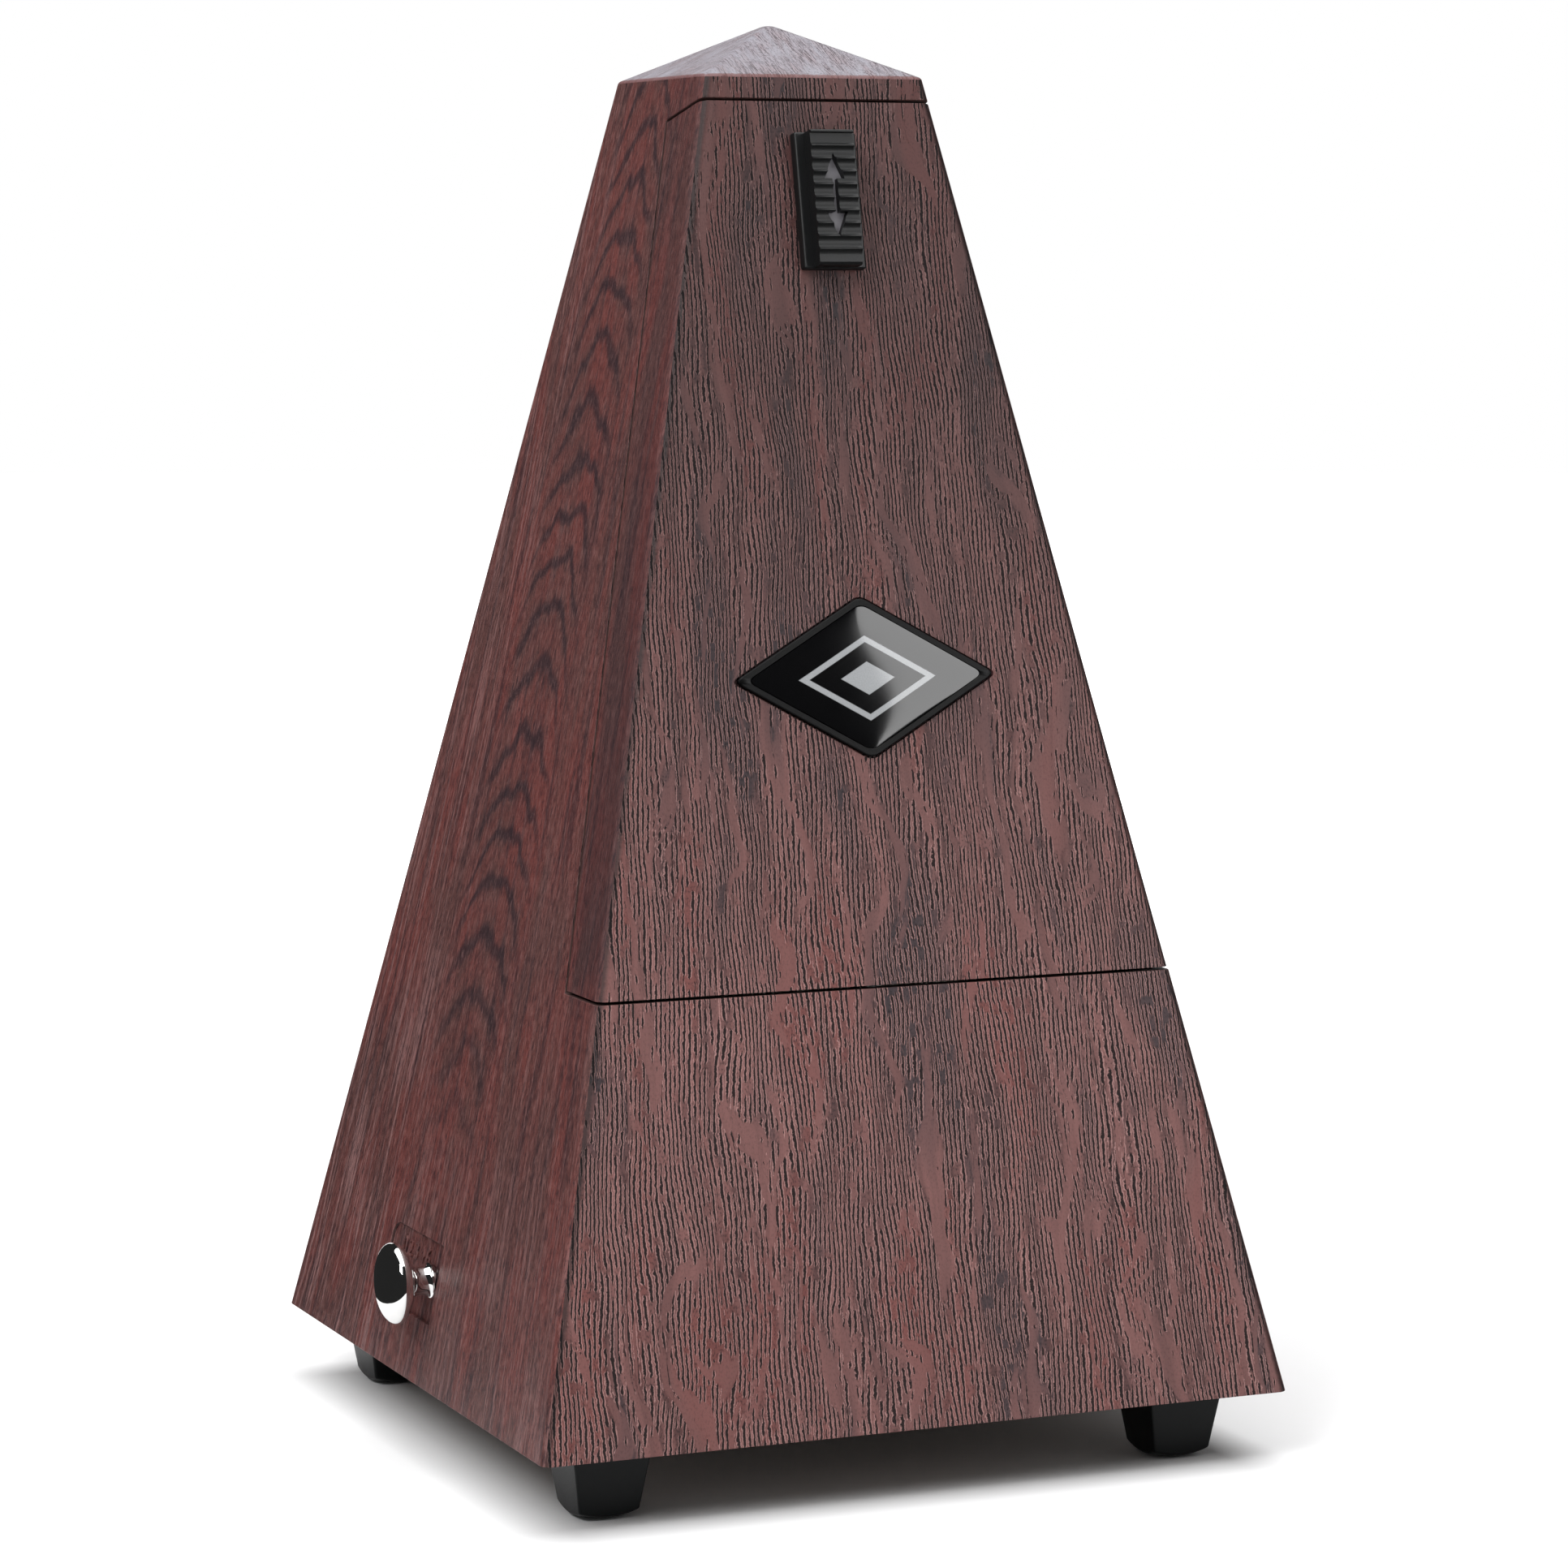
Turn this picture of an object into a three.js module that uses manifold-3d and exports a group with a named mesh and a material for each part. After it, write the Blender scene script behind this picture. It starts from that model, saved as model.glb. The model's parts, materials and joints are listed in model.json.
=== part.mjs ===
// Spring-driven metronome in a pyramid case, with a tilting front cover and a beat bell.
// Millimetres, +Z up. The origin is on the floor under the middle of the case, and the front faces -Y.
import * as THREE from "three";
import { mergeVertices } from "three/addons/utils/BufferGeometryUtils.js";
import { ConvexGeometry } from "three/addons/geometries/ConvexGeometry.js";
import Module from "manifold-3d";

const wasm = await Module();
wasm.setup();

// ---------- Driving dimensions ----------
const fit = { gap: 0.3, running: 0.25 }; // clearance between fixed pieces, and round a turning or sliding one

const body = {
  baseWidth: 121,
  topWidth: 36.4,
  height: 199,
  wall: 2,
  edgeRadius: 1.5,
  roofHeight: 8.6,
  apexRadius: 3,
  roofEdgeRadius: 0.8,
  ceiling: 1.5, // from the roof's edge down to the top of the hollow
  floorRecess: 0.6, // base plate's underside above the case's lower edge
};
const foot = {
  inset: 13.6,
  height: 11.2,
  topWidth: 12.6,
  bottomWidth: 9.4,
  cornerDrop: 9.75,
  padRadius: 2.3,
};
const basePlate = { thickness: 2, pegRadius: 2.5, pegLength: 3.6 };
const cover = {
  bottom: 63.9, // height of the lower seam above the case's lower edge
  flange: 13.1, // front to back depth of the side flanges
  bandHeight: 3.4, // strip of the case left above the cover at the front
  seamDrop: 3.1, // how much lower the seam's rear top corner is
  seam: 0.7,
  tabWidth: 8,
  tabSpread: 30,
  tabThickness: 1.8,
  tabGap: 0.9,
  tabReach: 4.6,
  tabRoot: 6,
};
const latch = {
  low: 173.5,
  length: 20.9,
  baseWidth: 10.4,
  baseThickness: 1.9,
  gripWidth: 7,
  gripHeight: 4.6,
  gripInset: 0.2,
  ridges: 12,
  ridgeDepth: 0.6,
  plainEnd: 1.5, // smooth strip at each end of the ridges
};
const latchWork = {
  travel: 3.5,
  shankWidth: 3.4,
  shankLength: 8,
  boltWidth: 12,
  boltThickness: 1.5,
  boltInset: 3,
  boltClearance: 1.5,
};
const badge = {
  width: 42.6,
  height: 24.4,
  centre: 111.8,
  corner: 1.4,
  rim: 1,
  thickness: 1,
  pocket: 0.8,
  crown: 1.1,
  shoulder: 0.9, // how far in the dome has bent over
  crownInset: 2.6,
};
const scalePlate = {
  depth: 14,
  thickness: 1.2,
  low: 60,
  high: 190,
  ledgeWidth: 3,
  ledgeThickness: 3,
  ledgeRise: 16, // ledge's lower end above the plate's
  ledgeDrop: 4,
  screwRise: 24,
  screwDrop: 10,
  screwInset: 1.6,
};
const pendulum = {
  depth: 7.5, // rod's middle behind the front face
  pivot: 52, // distance up the face
  rodTop: 184,
  rodWidth: 2.6,
  rodThickness: 1,
  hubRadius: 5,
  hubThickness: 4,
  weightWidth: 16,
  weightHeight: 15,
  weightThickness: 5,
  weightAt: 122,
  weightFoot: 11.52,
  weightTop: 12.8,
  weightShoulder: 3,
  leafWidth: 4.2,
  leafThickness: 0.4,
  leafClearance: 0.2,
  bobRadius: 14,
  bobThickness: 8,
  bobDrop: 32,
  arborRadius: 1,
  arborNose: 0.6, // arbor's front end ahead of the hub
};
const rodCatch = { width: 10, height: 8, cheek: 1.2, slotDepth: 1.6, drop: 1 };
const verge = {
  crownDepth: 40,
  rearDepth: 55,
  palletAngle: 50,
  palletLength: 3.85,
  palletWidth: 2.2,
  palletThickness: 0.8,
  palletInset: 0.5,
};
const train = {
  module: 0.8,
  greatTeeth: 54,
  middlePinionTeeth: 12,
  middleTeeth: 40,
  escapePinionTeeth: 10,
  camTeeth: 25,
  camAngle: -106, // direction of the cams' arbor from the escape arbor, in degrees from +Y
  crownTeeth: 15,
  crownRadius: 11,
  crownRim: 1.2,
  crownFloor: 1.5,
  wheelThickness: 2,
  arborRadius: 1.5,
  greatArborRadius: 2.5,
};
// Addendum and dedendum in modules, half widths in shares of the pitch.
const tooth = { addendum: 0.7, dedendum: 1.1, rootHalf: 0.27, tipHalf: 0.12 };
// X where each layer of the train starts, and the spans of the pinions' teeth.
const stack = { greatAt: 10, wheelAt: -15.5, crownAt: -10, crownTips: -3 };
const pinions = { escape: [-17.5, -12.8], middle: [8.5, 13.5] };
const winding = {
  behindPost: 9.89, // winding arbor behind the pendulum's rear bearing
  floorClearance: 1.24, // great wheel's teeth above the base plate
  ratchetTeeth: 12,
  ratchetRadius: 9,
  ratchetStep: 1.8,
  ratchetThickness: 2,
  clickRadius: 13.2,
  clickAngle: 128,
  clickPost: 1.1,
  keyWidth: 26,
  keyThickness: 3,
  keyClearance: 0.15,
  collarRadius: 4,
  collarLength: 4.5,
};
const mainspring = {
  turns: 6,
  innerRadius: 3.6,
  outerRadius: 18.6,
  strip: 0.7,
  width: 12,
  start: 22.5,
  postRadius: 1.4,
  postGap: 3, // from the coil's outer radius to the middle of its post
};
const plates = {
  left: -22,
  right: 18,
  thickness: 1.6,
  depth: 16.6,
  rearClearance: 0.84, // plates' rear edge behind the great wheel
  top: 66,
  pillarRadius: 2.2,
  pillarInset: 4.5,
  footReach: 8,
  arborEnd: 1.2, // how far an arbor's end stands out of its plate
};
const bearings = { thickness: 2, bridgeHeight: 12, bridgeGap: 1, postWidth: 8, postTop: 5, soleLength: 6 };
const escapeArm = { ahead: 17.5, behind: 4, height: 7, thickness: 1.2, clearance: 0.6, legDepth: 4 };
const selector = { y: -1.7, z: 15.6, rodRadius: 1.5, step: 3.2, innerEnd: -5 };
const knob = { reach: 8.3, lensDiameter: 12.6, lensThickness: 5.1, neckRadius: 2.15, socket: 2.6 };
const recess = { rear: 18.5, front: -4.8, low: 9.3, high: 21.3, depth: 0.45, corner: 2 };
const cams = {
  baseRadius: 5,
  lobeRadius: 7.5,
  width: 2,
  beats: [2, 3, 4, 6],
  coreInset: 0.6,
  endWidth: 1,
  fingerWidth: 1.6,
  fingerThickness: 1.6,
  fingerAt: -24,
  fingerDrop: 0.9, // finger's tip inside the lobes' radius
};
const bracket = { thickness: 1.4, gap: 2.4, footReach: 8, edge: 4, rearEdge: 4.4, shoulder: 4.5 };
const bell = {
  plateClearance: 0.5, // between the bell and the heads of the pillars' screws
  y: 24,
  radius: 14,
  rise: 9,
  wall: 1.1,
  base: 8,
  postRadius: 1.6,
  pinRadius: 0.96,
  postFoot: 4,
  footThickness: 1.6,
  nutRadius: 2.4,
  nutHeight: 1.6,
};
const hammer = {
  headRadius: 3,
  headHeight: 4.4,
  headInset: 9.5,
  headClearance: 0.5,
  armRadius: 1.1,
  hubRadius: 3,
  hubWidth: 3,
};
const screwBlock = { footSpacing: 16.9, inset: 5.9, width: 9, depth: 14, height: 11 };
const screw = { head: 2.6, headHeight: 1.3, shank: 1.2, length: 8 };
const scaleScrew = { head: 2, headHeight: 1, shank: 0.9, length: 3 };
const pillarScrew = { head: 2.2, headHeight: 1.2, shank: 0.9, length: 4 };
const past = 10; // how far a cutter reaches past what it cuts

// ---------- Places that follow from them ----------
const degrees = Math.PI / 180;
const lean = Math.atan((body.baseWidth - body.topWidth) / 2 / body.height);
const outerHalf = (z) => body.baseWidth / 2 - z * Math.tan(lean);
const innerHalf = (z) => outerHalf(z) - body.wall / Math.cos(lean);
const floorTop = body.floorRecess + basePlate.thickness;

// A point at a depth behind the front face and a distance up it, in the case's Y and Z.
function fromFace(depth, along) {
  return [
    -body.baseWidth / 2 + along * Math.sin(lean) + depth * Math.cos(lean),
    along * Math.cos(lean) - depth * Math.sin(lean),
  ];
}

// Third corner of a triangle on points a and b with sides ra and rb, to the left of a towards b.
function thirdCorner(a, b, ra, rb) {
  const [dy, dz] = [b[0] - a[0], b[1] - a[1]];
  const span = Math.hypot(dy, dz);
  const along = (ra * ra - rb * rb + span * span) / (2 * span);
  const side = Math.sqrt(ra * ra - along * along);
  return [a[0] + (along * dy + side * dz) / span, a[1] + (along * dz - side * dy) / span];
}

const pitchRadius = (teeth) => (teeth * train.module) / 2;
const centres = (teethA, teethB) => pitchRadius(teethA) + pitchRadius(teethB);
const tipRadius = (teeth) => pitchRadius(teeth) + tooth.addendum * train.module;
const rearBearing = fromFace(verge.rearDepth, pendulum.pivot);
const greatAxis = [
  rearBearing[0] + winding.behindPost,
  floorTop + winding.floorClearance + tipRadius(train.greatTeeth),
];
const crownAxis = fromFace(verge.crownDepth, pendulum.pivot);
const middleAxis = thirdCorner(
  greatAxis,
  crownAxis,
  centres(train.greatTeeth, train.middlePinionTeeth),
  centres(train.middleTeeth, train.escapePinionTeeth),
);
const camReach = centres(train.escapePinionTeeth, train.camTeeth);
const camAxis = [
  crownAxis[0] + camReach * Math.cos(train.camAngle * degrees),
  crownAxis[1] + camReach * Math.sin(train.camAngle * degrees),
];
const selectorAxis = [selector.y, selector.z];
const footPlace = body.baseWidth / 2 - foot.inset;
const screwPlace = [footPlace - screwBlock.footSpacing, innerHalf(floorTop) - screwBlock.inset];
const plateLow = floorTop + fit.gap;
const plateRear = greatAxis[0] + tipRadius(train.greatTeeth) + plates.rearClearance;
const frontEdge = (z) => -outerHalf(z) + plates.depth / Math.cos(lean);
const leftFace = plates.left + plates.thickness; // inner face of the left plate
const boltDepth = body.wall + 2 * fit.gap;
const coverTop = (body.height - cover.bandHeight - cover.seam) / Math.cos(lean);
const bellX = plates.left - fit.gap - pillarScrew.headHeight - bell.plateClearance - bell.radius;
const corners = [
  [-1, -1],
  [1, -1],
  [-1, 1],
  [1, 1],
];

// ---------- Materials ----------
const finish = (color, roughness, metalness = 0) =>
  new THREE.MeshStandardMaterial({ color, roughness, metalness });
const woodGrain = finish(0x6e4846, 0.55);
const blackPlastic = finish(0x17181a, 0.42);
const resin = finish(0x0c0e11, 0.08);
const chrome = finish(0xd9dadb, 0.08, 1);
const steel = finish(0x9a9ca0, 0.35, 1);
const brass = finish(0xb9924a, 0.3, 1);
const darkBoard = finish(0x1d1b1b, 0.8);
const rubber = finish(0x141516, 0.7);
const scaleFace = finish(0xc9b98a, 0.45, 0.6);

// ---------- Shape helpers ----------
const axisX = new THREE.Vector3(1, 0, 0);
const axisY = new THREE.Vector3(0, 1, 0);
const axisZ = new THREE.Vector3(0, 0, 1);

function solidOf(geometry) {
  const bare = geometry.clone();
  bare.deleteAttribute("normal");
  bare.deleteAttribute("uv");
  const merged = mergeVertices(bare, 1e-4);
  return new wasm.Manifold(
    new wasm.Mesh({
      numProp: 3,
      vertProperties: merged.attributes.position.array,
      triVerts: new Uint32Array(merged.index.array),
    }),
  );
}

function geometryOf(solid) {
  const mesh = solid.getMesh();
  const geometry = new THREE.BufferGeometry();
  geometry.setAttribute("position", new THREE.BufferAttribute(mesh.vertProperties, 3));
  geometry.setIndex(new THREE.BufferAttribute(mesh.triVerts, 1));
  geometry.computeVertexNormals();
  return geometry;
}

const joined = (...shapes) => geometryOf(shapes.map(solidOf).reduce((a, b) => a.add(b)));
const cut = (shape, ...tools) =>
  geometryOf(tools.map(solidOf).reduce((a, b) => a.subtract(b), solidOf(shape)));
const shared = (a, b) => geometryOf(solidOf(a).intersect(solidOf(b)));

function slab([x0, x1], [y0, y1], [z0, z1]) {
  const box = new THREE.BoxGeometry(x1 - x0, y1 - y0, z1 - z0);
  return box.translate((x0 + x1) / 2, (y0 + y1) / 2, (z0 + z1) / 2);
}

function circlePath(radius, [u, v] = [0, 0], sides = 16) {
  const path = new THREE.Path();
  const step = (2 * Math.PI) / sides;
  for (let i = 0; i < sides; i++) {
    const [a, b] = [u + radius * Math.cos(i * step), v + radius * Math.sin(i * step)];
    if (i) path.lineTo(a, b);
    else path.moveTo(a, b);
  }
  path.closePath();
  return path;
}

// An outline with round holes, each hole given as [radius, centre].
function outline(points, holes = []) {
  const shape = new THREE.Shape(points.map(([u, v]) => new THREE.Vector2(u, v)));
  shape.holes = holes.map(([radius, centre]) => circlePath(radius, centre));
  return shape;
}

const thick = (shape, depth) =>
  new THREE.ExtrudeGeometry(shape, { depth, bevelEnabled: false, curveSegments: 8 });

// A shape drawn in Y and Z, from x0 to x1.
function acrossX(shape, x0, x1) {
  const turn = new THREE.Matrix4().makeBasis(axisY, axisZ, axisX);
  return thick(shape, x1 - x0).applyMatrix4(turn).translate(x0, 0, 0);
}

// A shape drawn in X and Z, from y0 back to y1.
function acrossY(shape, y0, y1) {
  const turn = new THREE.Matrix4().makeBasis(axisX, axisZ, axisY.clone().negate());
  return thick(shape, y1 - y0).applyMatrix4(turn).translate(0, y1, 0);
}

// A round bar along X, Y or Z.
function bar(radius, axis, from, to, [u, v] = [0, 0], sides = 16) {
  const rod = new THREE.CylinderGeometry(radius, radius, to - from, sides);
  rod.translate(0, (from + to) / 2, 0);
  if (axis === "x") return rod.rotateZ(-Math.PI / 2).translate(0, u, v);
  if (axis === "z") return rod.rotateX(Math.PI / 2).translate(u, v, 0);
  return rod.translate(u, 0, v);
}

// A turned piece: [radius, height] points round Z.
const turned = (profile, sides) =>
  new THREE.LatheGeometry(profile.map(([r, h]) => new THREE.Vector2(r, h)), sides).rotateX(Math.PI / 2);

// Corners of a square with rounded corners, at height z.
function roundedSquare(half, radius, z, steps = 3) {
  const points = [];
  const inset = (half - radius) * Math.SQRT2;
  const quarter = Math.PI / 2;
  for (let corner = 0; corner < 4; corner++) {
    const [c, s] = [Math.cos((corner + 0.5) * quarter), Math.sin((corner + 0.5) * quarter)];
    for (let i = 0; i <= steps; i++) {
      const angle = (corner + i / steps) * quarter;
      const [x, y] = [inset * c + radius * Math.cos(angle), inset * s + radius * Math.sin(angle)];
      points.push(new THREE.Vector3(x, y, z));
    }
  }
  return points;
}

const sideName = (side) => (side < 0 ? "left" : "right");

// ---------- The assembly's groups ----------
const metronome = new THREE.Group();
const caseGroup = new THREE.Group();
caseGroup.position.z = foot.height;
const faceGroup = new THREE.Group();
faceGroup.position.y = -body.baseWidth / 2;
faceGroup.rotation.x = -lean;
caseGroup.add(faceGroup);
metronome.add(caseGroup);

function piece(group, name, geometry, material) {
  const mesh = new THREE.Mesh(geometry, material);
  mesh.name = name;
  group.add(mesh);
  return mesh;
}

// ---------- Case ----------
function outerForm() {
  const edge = body.roofEdgeRadius;
  const slope = body.roofHeight / (body.topWidth / 2);
  const nose = body.apexRadius * Math.sin(Math.atan(slope));
  const noseTop = body.height + body.roofHeight - body.apexRadius * (Math.hypot(1, slope) - 1);
  const roof = (half) => body.height + body.roofHeight - half * slope;
  const eave = outerHalf(body.height) - edge;
  const rims = [
    ...roundedSquare(outerHalf(0), body.edgeRadius, 0),
    ...roundedSquare(outerHalf(body.height - edge), body.edgeRadius, body.height - edge),
    ...roundedSquare(outerHalf(body.height) - edge / 4, body.edgeRadius, body.height - edge / 8),
    ...roundedSquare(eave, body.edgeRadius, roof(eave) - edge / 8),
    ...roundedSquare(nose, nose / 2, roof(nose)),
    ...roundedSquare(nose / 2, nose / 4, noseTop - nose / 16),
    new THREE.Vector3(0, 0, noseTop),
  ];
  return new ConvexGeometry(rims);
}

function hollowForm() {
  const top = body.height - body.ceiling;
  const square = (z) => roundedSquare(innerHalf(z), body.edgeRadius / 2, z, 1);
  return new ConvexGeometry([...square(-past), ...square(top)]);
}

// The space in front of the seam. Margin pulls every side of it inwards.
function coverSpace(margin) {
  const ahead = -body.baseWidth;
  const bandLow = body.height - cover.bandHeight;
  const rearTop = bandLow - cover.seamDrop;
  const slope = cover.seamDrop / cover.flange;
  const rearAt = (z) => -outerHalf(z) + cover.flange - margin / Math.cos(lean);
  const low = cover.bottom + margin;
  const top = bandLow - margin;
  const corner = rearTop - margin + margin * slope;
  const points = [
    [ahead, low],
    [rearAt(low), low],
    [rearAt(corner), corner],
    [-outerHalf(bandLow), top],
    [ahead, top],
  ];
  return acrossX(outline(points), -body.baseWidth, body.baseWidth);
}

// Frame inside the side walls that the scale plate is screwed to.
function scaleLedge() {
  const front = scalePlate.depth + scalePlate.thickness + fit.gap;
  const back = front + scalePlate.ledgeThickness;
  const half = (along, grow) => innerHalf(fromFace(back, along)[1]) + grow;
  const loop = (low, high, grow) => [
    [-half(low, grow), low],
    [half(low, grow), low],
    [half(high, grow), high],
    [-half(high, grow), high],
  ];
  const low = scalePlate.low + scalePlate.ledgeRise;
  const high = scalePlate.high - scalePlate.ledgeDrop;
  const ring = acrossY(outline(loop(low, high, body.wall / 2)), front, back);
  const opening = outline(loop(low - past, high + past, -scalePlate.ledgeWidth));
  const inside = acrossY(opening, front - past, back + past);
  return inFace(cut(ring, inside));
}

// A geometry drawn in the face's frame, moved to the case's frame.
const inFace = (geometry) => geometry.rotateX(-lean).translate(0, -body.baseWidth / 2, 0);

// Blocks on the front and rear walls that take the base plate's screws.
function screwBlocks(form) {
  const low = floorTop + fit.gap;
  const blocks = corners.map(([sx, sy]) => {
    const block = slab(
      [-screwBlock.width / 2, screwBlock.width / 2],
      [-screwBlock.depth / 2, screwBlock.depth / 2],
      [low, low + screwBlock.height],
    ).translate(sx * screwPlace[0], sy * (screwPlace[1] + screwBlock.depth / 4), 0);
    const at = [sx * screwPlace[0], sy * screwPlace[1]];
    const bore = bar(screw.shank + fit.gap, "z", -past, low + screwBlock.height + past, at, 12);
    return shared(cut(block, bore), form);
  });
  return blocks;
}

const screwForm = (spec) =>
  turned(
    [
      [0, 0],
      [spec.head, 0],
      [spec.head, spec.headHeight],
      [spec.shank, spec.headHeight],
      [spec.shank, spec.headHeight + spec.length],
      [0, spec.headHeight + spec.length],
    ],
    8,
  );

// Shallow panel for the beat numbers, sunk into the left wall.
function numberRecess() {
  const low = recess.low / Math.cos(lean);
  const high = recess.high / Math.cos(lean);
  const shape = new THREE.Shape();
  shape.moveTo(recess.front, low);
  shape.lineTo(recess.rear, low);
  shape.lineTo(recess.rear, high - recess.corner);
  shape.absarc(recess.rear - recess.corner, high - recess.corner, recess.corner, 0, Math.PI / 2);
  shape.lineTo(recess.front, high);
  const panel = acrossX(shape, -recess.depth, recess.depth);
  return panel.rotateY(lean).translate(-body.baseWidth / 2, 0, 0);
}

function caseShell() {
  const form = outerForm();
  const wallHole = knob.neckRadius + 2 * fit.gap;
  const keyHole = train.greatArborRadius + fit.running;
  const shell = cut(
    form,
    hollowForm(),
    coverSpace(0),
    numberRecess(),
    bar(wallHole, "x", -body.baseWidth, 0, selectorAxis, 20),
    bar(keyHole, "x", 0, body.baseWidth, greatAxis, 20),
  );
  return joined(shell, ...screwBlocks(form), scaleLedge());
}

function coverShell() {
  const shell = cut(shared(outerForm(), coverSpace(cover.seam)), hollowForm());
  const tab = (side) => {
    const x = side * cover.tabSpread;
    const seamAt = (cover.bottom + cover.seam) / Math.cos(lean);
    const [front, top] = [body.wall + cover.tabGap, seamAt + cover.tabRoot];
    const wide = [x - cover.tabWidth / 2, x + cover.tabWidth / 2];
    const tongue = slab(wide, [front, front + cover.tabThickness], [seamAt - cover.tabReach, top]);
    const root = slab(wide, [body.wall / 2, front + cover.tabThickness], [seamAt + 1, top]);
    return inFace(joined(tongue, root));
  };
  const slotLow = latch.low + (latch.length - latchWork.shankLength) / 2 - fit.gap;
  const slotHigh = slotLow + latchWork.shankLength + latchWork.travel + 2 * fit.gap;
  const slotHalf = latchWork.shankWidth / 2 + fit.gap;
  const slot = inFace(slab([-slotHalf, slotHalf], [-past, body.wall + 1], [slotLow, slotHigh]));
  const pocket = inFace(acrossY(diamond(fit.gap), -past, badge.pocket));
  return cut(joined(shell, tab(-1), tab(1)), slot, pocket);
}

function footForm() {
  const points = [];
  const n = 6;
  const half = foot.bottomWidth / 2;
  const rise = (foot.height - foot.cornerDrop) / (2 * half * half - foot.padRadius ** 2);
  for (let i = 0; i <= n; i++) {
    for (let j = 0; j <= n; j++) {
      const [x, y] = [half * ((2 * i) / n - 1), half * ((2 * j) / n - 1)];
      const up = Math.max(0, x * x + y * y - foot.padRadius ** 2) * rise;
      points.push(new THREE.Vector3(x, y, -foot.height + up));
    }
  }
  const top = body.floorRecess - fit.gap;
  points.push(...roundedSquare(foot.topWidth / 2, 0.4, top, 1));
  const peg = bar(basePlate.pegRadius, "z", top - 1, top + basePlate.pegLength);
  return joined(new ConvexGeometry(points), peg);
}

function floorPlate() {
  const half = innerHalf(floorTop) - fit.gap;
  const plate = new ConvexGeometry([
    ...roundedSquare(half, body.edgeRadius, body.floorRecess, 2),
    ...roundedSquare(half, body.edgeRadius, floorTop, 2),
  ]);
  const holes = corners.flatMap(([sx, sy]) => [
    bar(basePlate.pegRadius + fit.gap, "z", -past, past, [sx * footPlace, sy * footPlace]),
    bar(screw.shank + fit.gap, "z", -past, past, [sx * screwPlace[0], sy * screwPlace[1]], 12),
  ]);
  return cut(plate, ...holes);
}

function buildCase() {
  piece(caseGroup, "case_shell", caseShell(), woodGrain);
  piece(caseGroup, "base_plate", floorPlate(), darkBoard);
  for (const [sx, sy] of corners) {
    const where = (sy < 0 ? "front_" : "rear_") + sideName(sx);
    const post = piece(caseGroup, "foot_" + where, footForm(), rubber);
    post.position.set(sx * footPlace, sy * footPlace, 0);
    const fixing = piece(caseGroup, "base_screw_" + where, screwForm(screw), steel);
    const under = body.floorRecess - fit.gap - screw.headHeight;
    fixing.position.set(sx * screwPlace[0], sy * screwPlace[1], under);
  }
}

// ---------- Cover, latch and badge ----------
// The badge's outline, grown outwards by an offset.
function diamond(grow) {
  const [w, h] = [badge.width / 2, badge.height / 2];
  const offset = (grow * Math.hypot(w, h)) / (w * h);
  const [a, b] = [w * (1 + offset), h * (1 + offset)];
  const tips = [
    [a, 0],
    [0, b],
    [-a, 0],
    [0, -b],
  ];
  const shape = new THREE.Shape();
  tips.forEach((tip, i) => {
    const before = tips[(i + 3) % 4];
    const after = tips[(i + 1) % 4];
    const step = badge.corner / Math.hypot(a, b);
    const near = ([x, z]) => [tip[0] + (x - tip[0]) * step, tip[1] + badge.centre + (z - tip[1]) * step];
    if (i) shape.lineTo(...near(before));
    else shape.moveTo(...near(before));
    shape.quadraticCurveTo(tip[0], tip[1] + badge.centre, ...near(after));
  });
  return shape;
}

function badgeFrame() {
  const back = badge.pocket - fit.gap;
  const front = back - badge.thickness;
  const plate = acrossY(diamond(0), front, back);
  return cut(plate, acrossY(diamond(-badge.rim), front - past, back - badge.thickness / 2));
}

// The domed resin: layers that shrink towards the crown.
function badgeDome() {
  const edge = -badge.thickness / 2;
  const back = badge.pocket + edge - 2 * fit.gap;
  const layers = [
    [0, back],
    [0, edge],
    [badge.shoulder, edge + (-badge.crown - edge) * 0.7],
    [badge.crownInset, -badge.crown],
  ];
  const points = layers.flatMap(([inset, depth]) =>
    diamond(-badge.rim - fit.gap - inset)
      .getPoints(3)
      .map((p) => new THREE.Vector3(p.x, depth, p.y)),
  );
  return new ConvexGeometry(points);
}

function latchSlider() {
  const half = latch.baseWidth / 2;
  const grip = latch.gripWidth / 2;
  const high = latch.low + latch.length;
  const tall = [latch.low + latch.gripInset, high - latch.gripInset];
  const base = slab([-half, half], [-latch.baseThickness - fit.running, -fit.running], [latch.low, high]);
  const block = slab([-grip, grip], [-latch.gripHeight, -fit.running], tall);
  const pitch = (latch.length - 2 * latch.plainEnd) / latch.ridges;
  const grooves = [];
  for (let i = 0; i < latch.ridges; i++) {
    const z = latch.low + latch.plainEnd + pitch * (i + 0.5);
    const notch = outline([
      [-latch.gripHeight - 1, z - pitch * 0.4],
      [-latch.gripHeight + latch.ridgeDepth, z],
      [-latch.gripHeight - 1, z + pitch * 0.4],
    ]);
    grooves.push(acrossX(notch, -half, half));
  }
  const middle = latch.low + latch.length / 2;
  const shank = latchWork.shankWidth / 2;
  const reach = [middle - latchWork.shankLength / 2, middle + latchWork.shankLength / 2];
  const stem = slab([-shank, shank], [-1, boltDepth - fit.gap], reach);
  return joined(cut(joined(base, block), ...grooves), stem);
}

function latchBolt() {
  const half = latchWork.boltWidth / 2;
  const deep = [boltDepth, boltDepth + latchWork.boltThickness];
  const tall = [latch.low + latchWork.boltInset, coverTop - latchWork.boltClearance];
  const plate = slab([-half, half], deep, tall);
  const middle = latch.low + latch.length / 2;
  const hole = bar(screw.shank + fit.gap, "y", -past, past, [0, middle], 12);
  return cut(plate, hole);
}

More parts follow.
